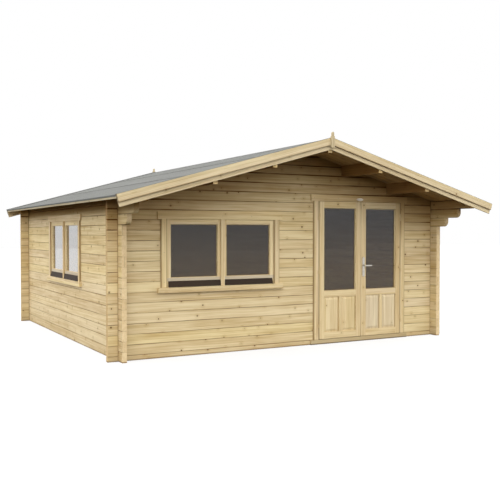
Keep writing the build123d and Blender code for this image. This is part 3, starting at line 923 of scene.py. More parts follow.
@dataclass(frozen=True)
class StainFinish:
    """Stained or moulded trim: one tone with faint clouding and a satin face."""

    name: str
    colour: Colour
    worn: Colour
    rough: float
    grains: float = 160.0
    wear: Span = (0.1, 0.6)
    grain_rough: float = 0.2
    gloss: float = 0.2
    relief: float = 0.0003

    def material(self, effects: Effects) -> bpy.types.Material:
        """Makes the trim's material.

        Args:
            effects: The shared groups.

        Returns:
            The material.
        """
        coat = Coat(self.name)
        g = coat.graph
        speck = g.use(effects.speckle, Place=coat.place, Scale=self.grains).outputs
        share = g.ramp(g.times(speck["Grain"], speck["Cloud"]), *self.wear)
        rough = g.scaled(speck["Grain"], self.grain_rough, self.rough)
        colour = g.mix(share, self.colour, self.worn)
        coat.set(Base_Color=colour, Roughness=rough, Specular_IOR_Level=self.gloss)
        coat.bump(speck["Grain"], self.relief)
        return coat.material


@dataclass
class Surface:
    """A closed shape as whole arrays: its points, and blocks of faces that are rows of point numbers."""

    points: np.ndarray
    faces: list[np.ndarray]

    @staticmethod
    def joined(parts: Sequence["Surface"]) -> "Surface":
        """Puts several shapes into one, each block of faces numbered on from the points before it.

        Args:
            parts: The shapes.

        Returns:
            The one shape.
        """
        starts = np.cumsum([0] + [len(part.points) for part in parts])
        faces = [block + start for part, start in zip(parts, starts) for block in part.faces]
        return Surface(np.concatenate([part.points for part in parts]), faces)

    def repeated(self, places: np.ndarray) -> "Surface":
        """Sets a copy of the shape at each place: point (n, i) is place n plus point i.

        Args:
            places: Rows of offsets.

        Returns:
            All the copies as one shape.
        """
        points = (places[:, None, :] + self.points[None, :, :]).reshape(-1, 3)
        steps = np.arange(len(places))[:, None, None] * len(self.points)
        faces = [(block[None] + steps).reshape(-1, block.shape[1]) for block in self.faces]
        return Surface(points, faces)

    def piece(
        self, name: str, material: bpy.types.Material, body: str, slot: str, smooth: float = 0.0
    ) -> bpy.types.Object:
        """Makes the object at the origin, with its faces turned outwards.

        Args:
            name: The piece's name.
            material: Its finish.
            body: The body that it rides on.
            slot: Not used.
            smooth: Faces that meet at less than this angle, in degrees, are shaded as one.

        Returns:
            The object.
        """
        mesh = bpy.data.meshes.new(name)
        rows = [row for block in self.faces for row in block.tolist()]
        mesh.from_pydata(self.points.tolist(), [], rows)
        shell = bmesh.new()
        shell.from_mesh(mesh)
        bmesh.ops.recalc_face_normals(shell, faces=shell.faces)
        shell.to_mesh(mesh)
        shell.free()
        if smooth:
            mesh.shade_smooth()
            mesh.set_sharp_from_angle(angle=math.radians(smooth))
        mesh.materials.append(material)
        made = bpy.data.objects.new(name, mesh)
        bpy.context.scene.collection.objects.link(made)
        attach(made, body)
        log.info("%s: %d points on %s", name, len(self.points), body)
        return made


def carried(
    profile: np.ndarray, stations: np.ndarray, rights: np.ndarray, ups: np.ndarray, ring: bool
) -> Surface:
    """Carries a profile along a path: point (i, j) is station i + profile j's first number times right i
    + its second number times up i. An open path gets an end face at each end.

    Args:
        profile: Outline as rows of two numbers.
        stations: Points of the path.
        rights: What one unit of the profile's first number means at each station.
        ups: What one unit of its second number means there.
        ring: Whether the path closes on itself.

    Returns:
        The closed shape.
    """
    points = stations[:, None] + profile[None, :, :1] * rights[:, None] + profile[None, :, 1:] * ups[:, None]
    count, around = points.shape[:2]
    i = np.arange(count if ring else count - 1)[:, None]
    j = np.arange(around)[None, :]
    here, after, beside = i * around, (i + 1) % count * around, (j + 1) % around
    faces = [np.stack([here + j, here + beside, after + beside, after + j], axis=-1).reshape(-1, 4)]
    if not ring:
        faces += [j[:, ::-1], j + (count - 1) * around]
    return Surface(points.reshape(-1, 3), faces)


def bar(
    profile: np.ndarray, start: np.ndarray, end: np.ndarray, right: np.ndarray, up: np.ndarray
) -> Surface:
    """A straight length of a profile from one point to another: the carried profile with two stations."""
    return carried(profile, np.stack([start, end]), np.stack([right, right]), np.stack([up, up]), False)


def slab(lower: np.ndarray, upper: np.ndarray) -> Surface:
    """A closed sheet between two grids of points: both grids' own faces, joined by a strip round their rims.

    Args:
        lower: Points of the underside, rows by columns.
        upper: Points of the top, on the same grid.

    Returns:
        The closed sheet.
    """
    rows, columns = lower.shape[:2]
    number = np.arange(rows * columns).reshape(rows, columns)
    corners = [number[:-1, :-1], number[1:, :-1], number[1:, 1:], number[:-1, 1:]]
    quads = np.stack(corners, axis=-1).reshape(-1, 4)
    rim = np.concatenate([number[0, :-1], number[:-1, -1], number[-1, :0:-1], number[:0:-1, 0]])
    after, size = np.roll(rim, -1), rows * columns
    strip = np.stack([rim, after, after + size, rim + size], axis=1)
    points = np.concatenate([lower.reshape(-1, 3), upper.reshape(-1, 3)])
    return Surface(points, [quads, quads[:, ::-1] + size, strip])


def turned_head(
    radius: float, height: float, right: np.ndarray, up: np.ndarray, out: np.ndarray, around: int = 14
) -> Surface:
    """A low domed head about an axis: at angle t on the dome its rim is radius * cos t wide, and lies
    height * sin t off the face.

    Args:
        radius: Radius of the head, as a multiple of right and up.
        height: How far it stands out.
        right: Vector across the face it sits on.
        up: Vector up that face.
        out: Unit vector off that face.
        around: Points round the rim.

    Returns:
        The closed head about the origin.
    """
    crown_share, rims_up = 0.42, 4
    turn = np.linspace(0, 2 * np.pi, around, endpoint=False)
    rise = np.linspace(0, crown_share * np.pi, rims_up)
    rims, lifts = radius * np.cos(rise), height * np.sin(rise)
    rims, lifts = np.append(rims[0], rims), np.append(-height, lifts)
    circle = np.stack([np.cos(turn), np.sin(turn)], axis=1)
    return carried(circle, lifts[:, None] * out, rims[:, None] * right, rims[:, None] * up, False)


def turned_ring(profile: np.ndarray, right: np.ndarray, up: np.ndarray, out: np.ndarray) -> Surface:
    """A ring about an axis: a profile of radius and height carried round it. At angle t its points lie at
    radius * (cos t * right + sin t * up) + height * out.

    Args:
        profile: Rows of radius and height.
        right: Unit vector across the face it sits on.
        up: Unit vector up that face.
        out: Unit vector off that face.

    Returns:
        The closed ring about the origin.
    """
    around = 28
    turn = np.linspace(0, 2 * np.pi, around, endpoint=False)[:, None]
    rights = np.cos(turn) * right + np.sin(turn) * up
    return carried(profile, np.zeros_like(rights), rights, np.tile(out, (around, 1)), True)


def barrel_outline(head: float, foot: float, drop: float) -> np.ndarray:
    """A lock barrel's outline: most of a circle above, and a narrow round foot below it.

    Args:
        head: Radius of the circle.
        foot: Half width of the foot.
        drop: How far below the circle's middle the foot's own middle lies.

    Returns:
        Rows of across and up.
    """
    head_points, foot_points = 20, 10
    start = -math.acos(foot / head)
    over = np.linspace(start, math.pi - start, head_points)
    under = np.linspace(math.pi, 2 * math.pi, foot_points)
    return np.concatenate([
        head * np.stack([np.cos(over), np.sin(over)], 1),
        foot * np.stack([np.cos(under), np.sin(under)], 1) - [0.0, drop],
    ])


def framed(profile: np.ndarray, low: Span, high: Span, depth: float, face: Face) -> Surface:
    """A mitred frame round a rectangle: the profile carried round its four corners. One unit of its first
    number goes inwards along both sides at once, and its second number goes off the wall.

    Args:
        profile: Outline as inward and outward distances.
        low: Lowest corner along the wall and in height.
        high: Highest corner.
        depth: The wall plane's own coordinate.
        face: The wall that the frame is set in.

    Returns:
        The closed frame.
    """
    wide = np.array([low[0], high[0], high[0], low[0]])
    tall = np.array([low[1], low[1], high[1], high[1]])
    inward = np.array([[1, 1], [-1, 1], [-1, -1], [1, -1]], float)
    stations, rights = face.placed(wide, depth, tall), face.placed(inward[:, 0], 0.0, inward[:, 1])
    return carried(profile, stations, rights, np.tile(face.axes[1], (4, 1)), True)


def ovolo(width: float, depth: float, foot: float) -> np.ndarray:
    """A glazing bead's outline: flat at its back and against the frame, with a quarter ellipse between them.

    Args:
        width: How far it covers the pane.
        depth: How far it stands out.
        foot: Where its back lies.

    Returns:
        Rows of inward and outward distances.
    """
    flat_share, lip_share, curve_points = 0.3, 0.25, 6
    turn = np.linspace(0, np.pi / 2, curve_points)
    inward = width * (flat_share + (1 - flat_share) * np.cos(turn))
    outward = foot + depth * (lip_share + (1 - lip_share) * np.sin(turn))
    curve = np.stack([inward, outward], 1)
    return np.concatenate([[[0.0, foot], [width, foot]], curve, [[0.0, foot + depth]]])


@dataclass(frozen=True)
class Trims:
    """The trims round an opening, from its middle: the uprights' inner and outer edges, their foot and top,
    the line and levels of their nails, and the places and level of the header's nails. A nail is its head's
    radius and height."""

    edges: Span
    heights: Span
    nail_line: float
    nail_levels: tuple[float, ...]
    header_nails: tuple[float, ...]
    header_level: float
    thickness: float = 0.02
    nail: Span = (0.0036, 0.0009)

    def shade_lines(self, middle: float) -> tuple[ShadeLine, ...]:
        """Lines of painted shade along both edges of both uprights."""
        inner, outer = self.edges
        return tuple(ShadeLine(middle + edge, *self.heights) for edge in (-outer, -inner, inner, outer))

    def nails(self, face: Face, wall: float, middle: float) -> Surface:
        """Nail heads: one low dome set at each spot along the wall and up it.

        Args:
            face: The wall that the opening is in.
            wall: The wall's outer face.
            middle: The opening's middle.

        Returns:
            All the heads as one shape.
        """
        spots = [(side * self.nail_line, level) for side in (-1, 1) for level in self.nail_levels]
        spots += [(along, self.header_level) for along in self.header_nails]
        across, out = face.axes
        along, up = np.array(spots).T
        head = turned_head(*self.nail, across, UP, out)
        return head.repeated(face.placed(middle + along, wall - self.thickness, up))


def dress(nodes: Sequence[str], material: bpy.types.Material) -> None:
    """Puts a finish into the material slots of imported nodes.

    Args:
        nodes: Names of the nodes.
        material: Their finish.
    """
    for name in nodes:
        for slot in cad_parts[name].material_slots:
            slot.material = material
        log.info("%s wears %s", name, material.name)


WALL_TIMBER = Timber(tone(231, 212, 171), tone(192, 163, 113), tone(98, 64, 33), 0.62)
# The roof's and purlins' timbers are painted darker than the walls' as painted shade under the roof; the
# floor reuses the roof's tones.
SHADE_DARKENED_TIMBER = Timber(tone(188, 156, 106), tone(144, 108, 64), tone(84, 52, 26), 0.4)
SHADE_DARKENED_PURLIN_TIMBER = Timber(tone(156, 120, 70), tone(118, 82, 42), tone(84, 52, 26), 0.4)
JOINERY_TIMBER = Timber(tone(233, 213, 171), tone(200, 171, 122), tone(118, 80, 44), 0.2)
PANEL_TIMBER = Timber(tone(231, 215, 183), tone(202, 179, 144), tone(118, 80, 44), 0.2)
EAVE_TIMBER = Timber(tone(204, 190, 160), tone(168, 152, 122), tone(112, 78, 44), 0.2)
VERGE_TIMBER = Timber(tone(220, 203, 170), tone(183, 161, 124), tone(112, 78, 44), 0.3)
FINIAL_TIMBER = Timber(tone(200, 184, 150), tone(168, 148, 112), tone(112, 78, 44), 0.0)
FRONT_ENDS = (tone(220, 194, 146), tone(184, 148, 94))
# The rear logs' ends are painted darker as painted shade in the corner by the left wall.
SHADED_REAR_ENDS = (tone(208, 181, 128), tone(170, 136, 80))
SIDE_ENDS = (tone(236, 213, 170), tone(204, 174, 126))
# Painted shade under the roof, for each wall and for the joinery: a darker tone below the eaves, and on the
# walls a darkest band right under them.
FRONT_ROOF_SHADE = RoofShade(0.74, (-0.13, -0.03), 0.4)
REAR_ROOF_SHADE = RoofShade(0.3, (-0.13, -0.03), 0.78)
LEFT_ROOF_SHADE = RoofShade(0.3, (-0.25, -0.12), 0.78)
RIGHT_ROOF_SHADE = RoofShade(0.3, (-0.25, -0.12), 0.25)
JOINERY_ROOF_SHADE = RoofShade(0.72)
WINDOW_TRIMS = Trims(
    edges=(0.735, 0.805), heights=(0.827, 1.632), nail_line=0.77, nail_levels=(0.89, 1.24, 1.59),
    header_nails=(-0.8, -0.4, 0.0, 0.4, 0.8), header_level=1.674,
)
DOOR_TRIMS = Trims(
    edges=(0.688, 0.763), heights=(0.06, 1.888), nail_line=0.738, nail_levels=(0.14, 0.56, 1.28, 1.82),
    header_nails=(-0.76, -0.38, 0.2, 0.58, 0.76), header_level=1.928,
)


@dataclass
class Walls:
    """The log walls, gables and floor."""

    effects: Effects
    front_middle: float = -1.9985
    rear_middle: float = 2.5335
    side_middle: float = 2.346
    front_openings: tuple[Opening, ...] = (
        Opening(-1.05, 0.78, 1.62, WINDOW_TRIMS.edges[1]),
        Opening(1.05, 0.06, 1.86, DOOR_TRIMS.edges[1]),
    )
    side_openings: tuple[Opening, ...] = (Opening(0.2675, 0.84, 1.68, WINDOW_TRIMS.edges[1]),)
    plank_width: float = 0.1156
    plank_bevel: float = 0.0015
    bearer_board: float = 0.2

    def build(self) -> None:
        """Dresses the logs and lays the floor planks."""
        wide = {"run": Run.ALONG_X, "lift": COURSE / 2, "crossings": (-self.side_middle, self.side_middle)}
        deep = {"run": Run.ALONG_Y, "lift": 0.0, "crossings": (self.rear_middle,)}
        # Each wall gets painted shade under the roof, and along its openings' trims and crossing logs.
        walls = (
            ("front", FRONT_ENDS, self.front_middle, 3.0, FRONT_ROOF_SHADE, self.front_openings, wide),
            ("rear", SHADED_REAR_ENDS, self.rear_middle, 205.0, REAR_ROOF_SHADE, (), wide),
            ("left", SIDE_ENDS, -self.side_middle, 307.0, LEFT_ROOF_SHADE, self.side_openings, deep),
            ("right", SIDE_ENDS, self.side_middle, 409.0, RIGHT_ROOF_SHADE, (), deep),
        )
        nodes = {
            "front": ("wall_base_log", "wall_left_logs", "wall_right_logs", "lintel_log", "gable_logs"),
            "rear": ("wall_logs", "gable_logs"),
            "left": ("wall_logs", "wall_corbel_logs"),
            "right": ("wall_logs", "wall_corbel_logs"),
        }
        for side, ends, middle, start, roof, openings, lie in walls:
            finish = LogFinish(
                f"{side}_logs", WALL_TIMBER, ends, middle=middle, start=start, roof=roof,
                openings=openings, **lie,
            )
            dress([f"{side}_{node}" for node in nodes[side]], finish.material(self.effects))
        planks = BoardFinish("floor_planks", SHADE_DARKENED_TIMBER, Run.FLAT_Y, self.plank_width, start=520.0)
        bearers = BoardFinish("floor_bearers", SHADE_DARKENED_TIMBER, Run.ALONG_X, self.bearer_board, start=540.0)
        dress(("floor_bearers",), bearers.material(self.effects))
        laid = self.planks().piece("floor_planks", planks.material(self.effects), "cabin", "frame_wood")
        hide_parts("floor_boards")

    def planks(self) -> Surface:
        """Floor planks side by side: a bevelled outline carried the floor's length, repeated across it.

        Returns:
            All the planks as one shape.
        """
        low, high = (np.array(corner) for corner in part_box("floor_boards"))
        half, thick, edge = self.plank_width / 2, high[2] - low[2], self.plank_bevel
        outline = np.array([
            [-half, 0.0], [half, 0.0], [half, thick - edge], [half - edge, thick],
            [edge - half, thick], [-half, thick - edge],
        ])
        start, end = np.array([0.0, low[1], low[2]]), np.array([0.0, high[1], low[2]])
        count = int(round((high[0] - low[0]) / self.plank_width))
        across = low[0] + half + self.plank_width * np.arange(count)
        return bar(outline, start, end, RIGHT, UP).repeated(across[:, None] * RIGHT)


@dataclass
class Roof:
    """The roof: its lining boards, purlins, felt sheets, barge boards, battens and finials. Levels are
    distances off the slope, and a lap is where one felt sheet lies over the next."""

    effects: Effects
    half_length: float = 2.8119
    slope_length: float = 2.7604
    lining_length: float = 2.7401
    lining_thickness: float = 0.019
    lining_bevel: float = 0.004
    lining_count: int = 50
    purlin_board: float = 0.2
    edge_board: float = 0.5
    cover_foot: float = -0.0487
    felt_thickness: float = 0.004
    felt_gap: float = 0.0004
    felt_lap: float = 0.09
    sheet_count: int = 3
    sheet_step: float = 0.0012
    sheet_grid: tuple[int, int] = (14, 60)
    lap_rise_share: float = 0.7
    lap_start: float = 0.12
    lap_run: float = 0.06
    ripple: float = 0.0007
    ripple_turns: Span = (7.1, 5.3)
    fold_levels: Span = (0.024, 0.03)
    eave_tail: float = 0.06
    eave_lip: Span = (0.0005, 0.0034)
    eave_lip_levels: Span = (0.012, 0.0285)
    verge_tail: float = 2.75
    verge_turn: Span = (2.8085, 2.8115)
    verge_edge: float = 2.8522
    verge_lip_levels: Span = (0.0337, 0.0365)
    nail_radius: float = 0.006
    nail_height: float = 0.0016
    nail_seat: float = 0.0016
    nail_count: int = 38
    nail_margin: float = 0.06
    nail_row: float = 0.03

    def build(self) -> None:
        """Dresses the roof's nodes and lays its boards, felt and nails."""
        width = 2 * self.half_length / self.lining_count
        # The purlins' cut ends are painted much paler as a painted highlight, and the barges' cut ends
        # darker as painted shade.
        end_glare, end_shade = (2.1, 2.8, 4.2, 1.0), (0.4, 0.38, 0.34, 1.0)
        lining = BoardFinish("roof_lining", SHADE_DARKENED_TIMBER, Run.FLAT_X, width, start=600.0, sloped=True)
        purlins = BoardFinish(
            "roof_purlins", SHADE_DARKENED_PURLIN_TIMBER, Run.ALONG_Y, self.purlin_board, start=640.0, cut=end_glare
        )
        # The barges get a painted shadow line at the covers' foot.
        barges = BoardFinish(
            "barge_boards", VERGE_TIMBER, Run.ALONG_X, self.edge_board, start=660.0, sloped=True,
            cut=end_shade, shade_lines=(self.cover_foot,),
        )
        battens = BoardFinish("eave_battens", EAVE_TIMBER, Run.ALONG_Y, self.edge_board, start=670.0)
        finials = BoardFinish("finials", FINIAL_TIMBER, Run.UP_FRONT, self.edge_board, start=680.0)
        dress(("roof_purlins",), purlins.material(self.effects))
        dress(("front_barge_boards", "rear_barge_boards", "barge_covers"), barges.material(self.effects))
        dress(("eave_battens",), battens.material(self.effects))
        dress(("roof_finials",), finials.material(self.effects))
        boards = self.lining().piece("roof_lining", lining.material(self.effects), "cabin", "frame_wood")
        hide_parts("roof_boards")
        sheet = self.slope_length / self.sheet_count
        felt = FeltFinish("roof_felt", tone(126, 127, 123), tone(92, 93, 90), sheet).material(self.effects)
        dress(("ridge_felt_strip",), felt)
        sheets = self.sheets().piece("felt_sheets", felt, "cabin", "felt", SMOOTH_ANGLE)
        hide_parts("roof_felt")
        self.folds().piece("felt_folds", felt, "cabin", "felt", SMOOTH_ANGLE)
        nails = MetalFinish("felt_nails", tone(150, 150, 148), Run.FLAT_X, rough=0.45).material(self.effects)
        self.nails().piece("felt_nails", nails, "cabin", "hardware", SMOOTH_ANGLE)

    @staticmethod
    def placed(
        down: np.ndarray | float, along: np.ndarray | float, off: np.ndarray | float, side: int
    ) -> np.ndarray:
        """Points of one slope: x is side * (down * cos pitch + off * sin pitch), y is along the ridge, and
        z is the ridge height - down * sin pitch + off * cos pitch.

        Args:
            down: Distance down the slope.
            along: Distance along the ridge.
            off: Distance off the slope.
            side: -1 for the left slope, 1 for the right one.

        Returns:
            Rows of points.
        """
        x = side * (down * math.cos(PITCH) + off * math.sin(PITCH))
        z = RIDGE - down * math.sin(PITCH) + off * math.cos(PITCH)
        return np.stack(np.broadcast_arrays(x, along, z), axis=-1)

    def axes(self, side: int) -> tuple[np.ndarray, np.ndarray, np.ndarray, np.ndarray]:
        """Directions of one slope.

        Args:
            side: -1 for the left slope, 1 for the right one.

        Returns:
            The ridge point at its middle, one metre down the slope, one metre off it, and one metre off it
            along the ridge's mitre, which ends tan pitch higher up the slope.
        """
        origin = self.placed(0.0, 0.0, 0.0, side)
        ends = ((1.0, 0.0), (0.0, 1.0), (-math.tan(PITCH), 1.0))
        return origin, *(self.placed(down, 0.0, off, side) - origin for down, off in ends)

    def lining(self) -> Surface:
        """Lining boards: an outline with bevelled lower edges carried down each slope from its mitred head,
        repeated along the ridge.

        Returns:
            All the boards as one shape.
        """
        half, thick, edge = self.half_length / self.lining_count, self.lining_thickness, self.lining_bevel
        outline = np.array([
            [edge - half, 0.0], [half - edge, 0.0], [half, edge],
            [half, thick], [-half, thick], [-half, edge],
        ])
        along = -self.half_length + half + 2 * half * np.arange(self.lining_count)
        slopes = []
        for side in (-1, 1):
            origin, down_one, off_one, head = self.axes(side)
            ends = np.stack([origin, origin + self.lining_length * down_one])
            boards = carried(outline, ends, np.tile(-OUT, (2, 1)), np.stack([head, off_one]), False)
            slopes.append(boards.repeated(along[:, None] * -OUT))
        return Surface.joined(slopes)

    def seat(self, number: int) -> float:
        """The level that a sheet lies on: each sheet is a step lower than the one above it."""
        return self.lining_thickness + self.sheet_step * (self.sheet_count - 1 - number)

    def sheets(self) -> Surface:
        """Felt sheets that lap down each slope, on a grid of distance down and distance along: the top lies
        at the seat + the felt's thickness, + most of a second thickness that rises towards the sheet's foot,
        + a ripple of crossed sines under 1 mm high, and the underside lies flat on the seat.

        Returns:
            All the sheets as one shape.
        """
        run = self.slope_length / self.sheet_count
        turn_along, turn_down = self.ripple_turns
        parts = []
        for side in (-1, 1):
            for number in range(self.sheet_count):
                head, foot = number * run - (self.felt_lap if number else 0.0), (number + 1) * run
                down, along = np.meshgrid(
                    np.linspace(head, foot, self.sheet_grid[0]),
                    np.linspace(-self.half_length, self.half_length, self.sheet_grid[1]), indexing="ij",
                )
                seat = self.seat(number) + self.felt_gap
                rise = np.clip((down - foot + self.lap_start) / self.lap_run, 0, 1)
                waves = np.sin(turn_along * along + number) * np.sin(turn_down * down + 2 * side)
                top = seat + self.felt_thickness * (1 + self.lap_rise_share * rise) + self.ripple * waves
                lower, upper = (
                    self.placed(np.where(down > 0.0, down, -off * math.tan(PITCH)), along, off, side)
                    for off in (np.full_like(top, seat), top)
                )
                parts.append(slab(lower, upper))
        return Surface.joined(parts)

    def folds(self) -> Surface:
        """Felt folded over the roof's edges: an outline of distance past the eave and off the slope, carried
        along each eave, and one of distance along the ridge and off the slope, carried down both verges.

        Returns:
            All the folds as one shape.
        """
        (low, top), (near, far), (foot, brow) = self.fold_levels, self.eave_lip, self.eave_lip_levels
        tail = -self.eave_tail
        eave = np.array([[tail, top], [far, brow], [far, foot], [near, foot], [near, low], [tail, low]])
        (inner, outer), (under, crown) = self.verge_turn, self.verge_lip_levels
        tail, edge = self.verge_tail, self.verge_edge
        verge = np.array([[tail, top], [inner, top], [inner, crown], [edge, crown],
                          [edge, under], [outer, under], [outer, low], [tail, low]])
        parts = []
        for side in (-1, 1):
            origin, down_one, off_one, head = self.axes(side)
            corner = origin + self.slope_length * down_one
            reach = -self.half_length * OUT
            parts.append(bar(eave, corner - reach, corner + reach, down_one, off_one))
            for end in (-1.0, 1.0):
                rights, ups = np.tile(-end * OUT, (2, 1)), np.stack([head, off_one])
                parts.append(carried(verge, np.stack([origin, corner]), rights, ups, False))
        return Surface.joined(parts)

    def nails(self) -> Surface:
        """Clout nails: a low domed head repeated in a row along each sheet's lower edge.

        Returns:
            All the heads as one shape.
        """
        run = self.slope_length / self.sheet_count
        end = self.half_length - self.nail_margin
        along = np.linspace(-end, end, self.nail_count)
        rows = []
        for side in (-1, 1):
            _, down_one, off_one, _ = self.axes(side)
            head = turned_head(self.nail_radius, self.nail_height, -OUT, down_one, off_one)
            for number in range(self.sheet_count):
                lift = self.seat(number) + self.nail_seat + self.felt_thickness * (1 + self.lap_rise_share)
                down = (number + 1) * run - self.nail_row
                rows.append(head.repeated(self.placed(down, along, lift, side)))
        return Surface.joined(rows)


@dataclass
class Window:
    """A two-light window: its joinery, panes, glazing beads and weather bars. Distances along the wall are
    from the window's middle, and beads are width, depth and back."""

    effects: Effects
    side: str
    face: Face
    roof: RoofShade
    wall: float
    middle: float
    start: float
    pane_near: float = 0.0595
    pane_far: float = 0.6785
    pane_foot: float = 0.935
    pane_top: float = 1.574
    sash_far: float = 0.7365
    sash_heights: Span = (0.7, 1.7)
    # Heights about the pane's foot painted paler, as a painted highlight on the sashes' bottom rails.
    lit_rail: Span = (-0.04, 0.001)
    jamb: Span = (0.737, 0.78)
    outer_bead: tuple[float, float, float] = (0.0055, 0.007, -0.0195)
    inner_bead: tuple[float, float, float] = (0.011, -0.014, -0.0248)
    bead_step: float = 31.0
    trims: Trims = WINDOW_TRIMS
    trim_grain: Span = (0.73, 0.81)
    trim_grain_heights: Span = (0.828, 1.631)
    mullion_grain: float = 0.026

    def uprights(self, spans: Sequence[Span], heights: Span) -> tuple[Upright, ...]:
        """Uprights between two heights: each span from the window's middle, mirrored on its other side."""
        both = [pair for low, high in spans for pair in ((low, high), (-high, -low))]
        return tuple((self.middle + low, self.middle + high, *heights) for low, high in both)

    def build(self, glass: bpy.types.Material, stain: bpy.types.Material, steel: bpy.types.Material) -> None:
        """Dresses the window's nodes, fits its beads and nails its trims.

        Args:
            glass: The panes' finish.
            stain: The weather bars' finish.
            steel: The nails' finish.
        """
        sash = self.uprights(((0.0, self.pane_near), (self.pane_far, self.sash_far)), self.sash_heights)
        outer = self.uprights(((0.0, self.mullion_grain), self.trim_grain), self.trim_grain_heights)
        jambs = self.uprights((self.jamb,), self.sash_heights)
        # Painted shade along the trims' edges, and a painted highlight along the sashes' bottom rails.
        trim_shade_lines = self.trims.shade_lines(self.middle)
        foot, no_lit_band = tuple(self.pane_foot + level for level in self.lit_rail), (0.0, 0.0)
        members = (("sashes", sash, 0, foot), ("surround", outer, 11, no_lit_band), ("frame", jambs, 23, no_lit_band))
        for part, uprights, step, lit_band in members:
            name = f"{self.side}_window_{part}"
            finish = JoineryFinish(
                name, JOINERY_TIMBER, self.face, self.start + step, uprights, trim_shade_lines, lit_band, self.roof
            )
            dress((name,), finish.material(self.effects))
        dress((f"{self.side}_window_glass",), glass)
        dress((f"{self.side}_weather_bars",), stain)
        beads = JoineryFinish(
            f"{self.side}_window_beads", JOINERY_TIMBER, self.face, self.start + self.bead_step, sash
        )
        self.beads().piece(beads.name, beads.material(self.effects), "cabin", "joinery_wood", BEAD_ANGLE)
        heads = self.trims.nails(self.face, self.wall, self.middle)
        heads.piece(f"{self.side}_trim_nails", steel, "cabin", "hardware", SMOOTH_ANGLE)

    def beads(self) -> Surface:
        """Glazing beads: a mitred ovolo frame outside and one inside, round each pane.

        Returns:
            All the beads as one shape.
        """
        frames = []
        for low, high in ((-self.pane_far, -self.pane_near), (self.pane_near, self.pane_far)):
            corners = (self.middle + low, self.pane_foot), (self.middle + high, self.pane_top)
            for bead in (self.outer_bead, self.inner_bead):
                frames.append(framed(ovolo(*bead), *corners, self.wall, self.face))
        return Surface.joined(frames)


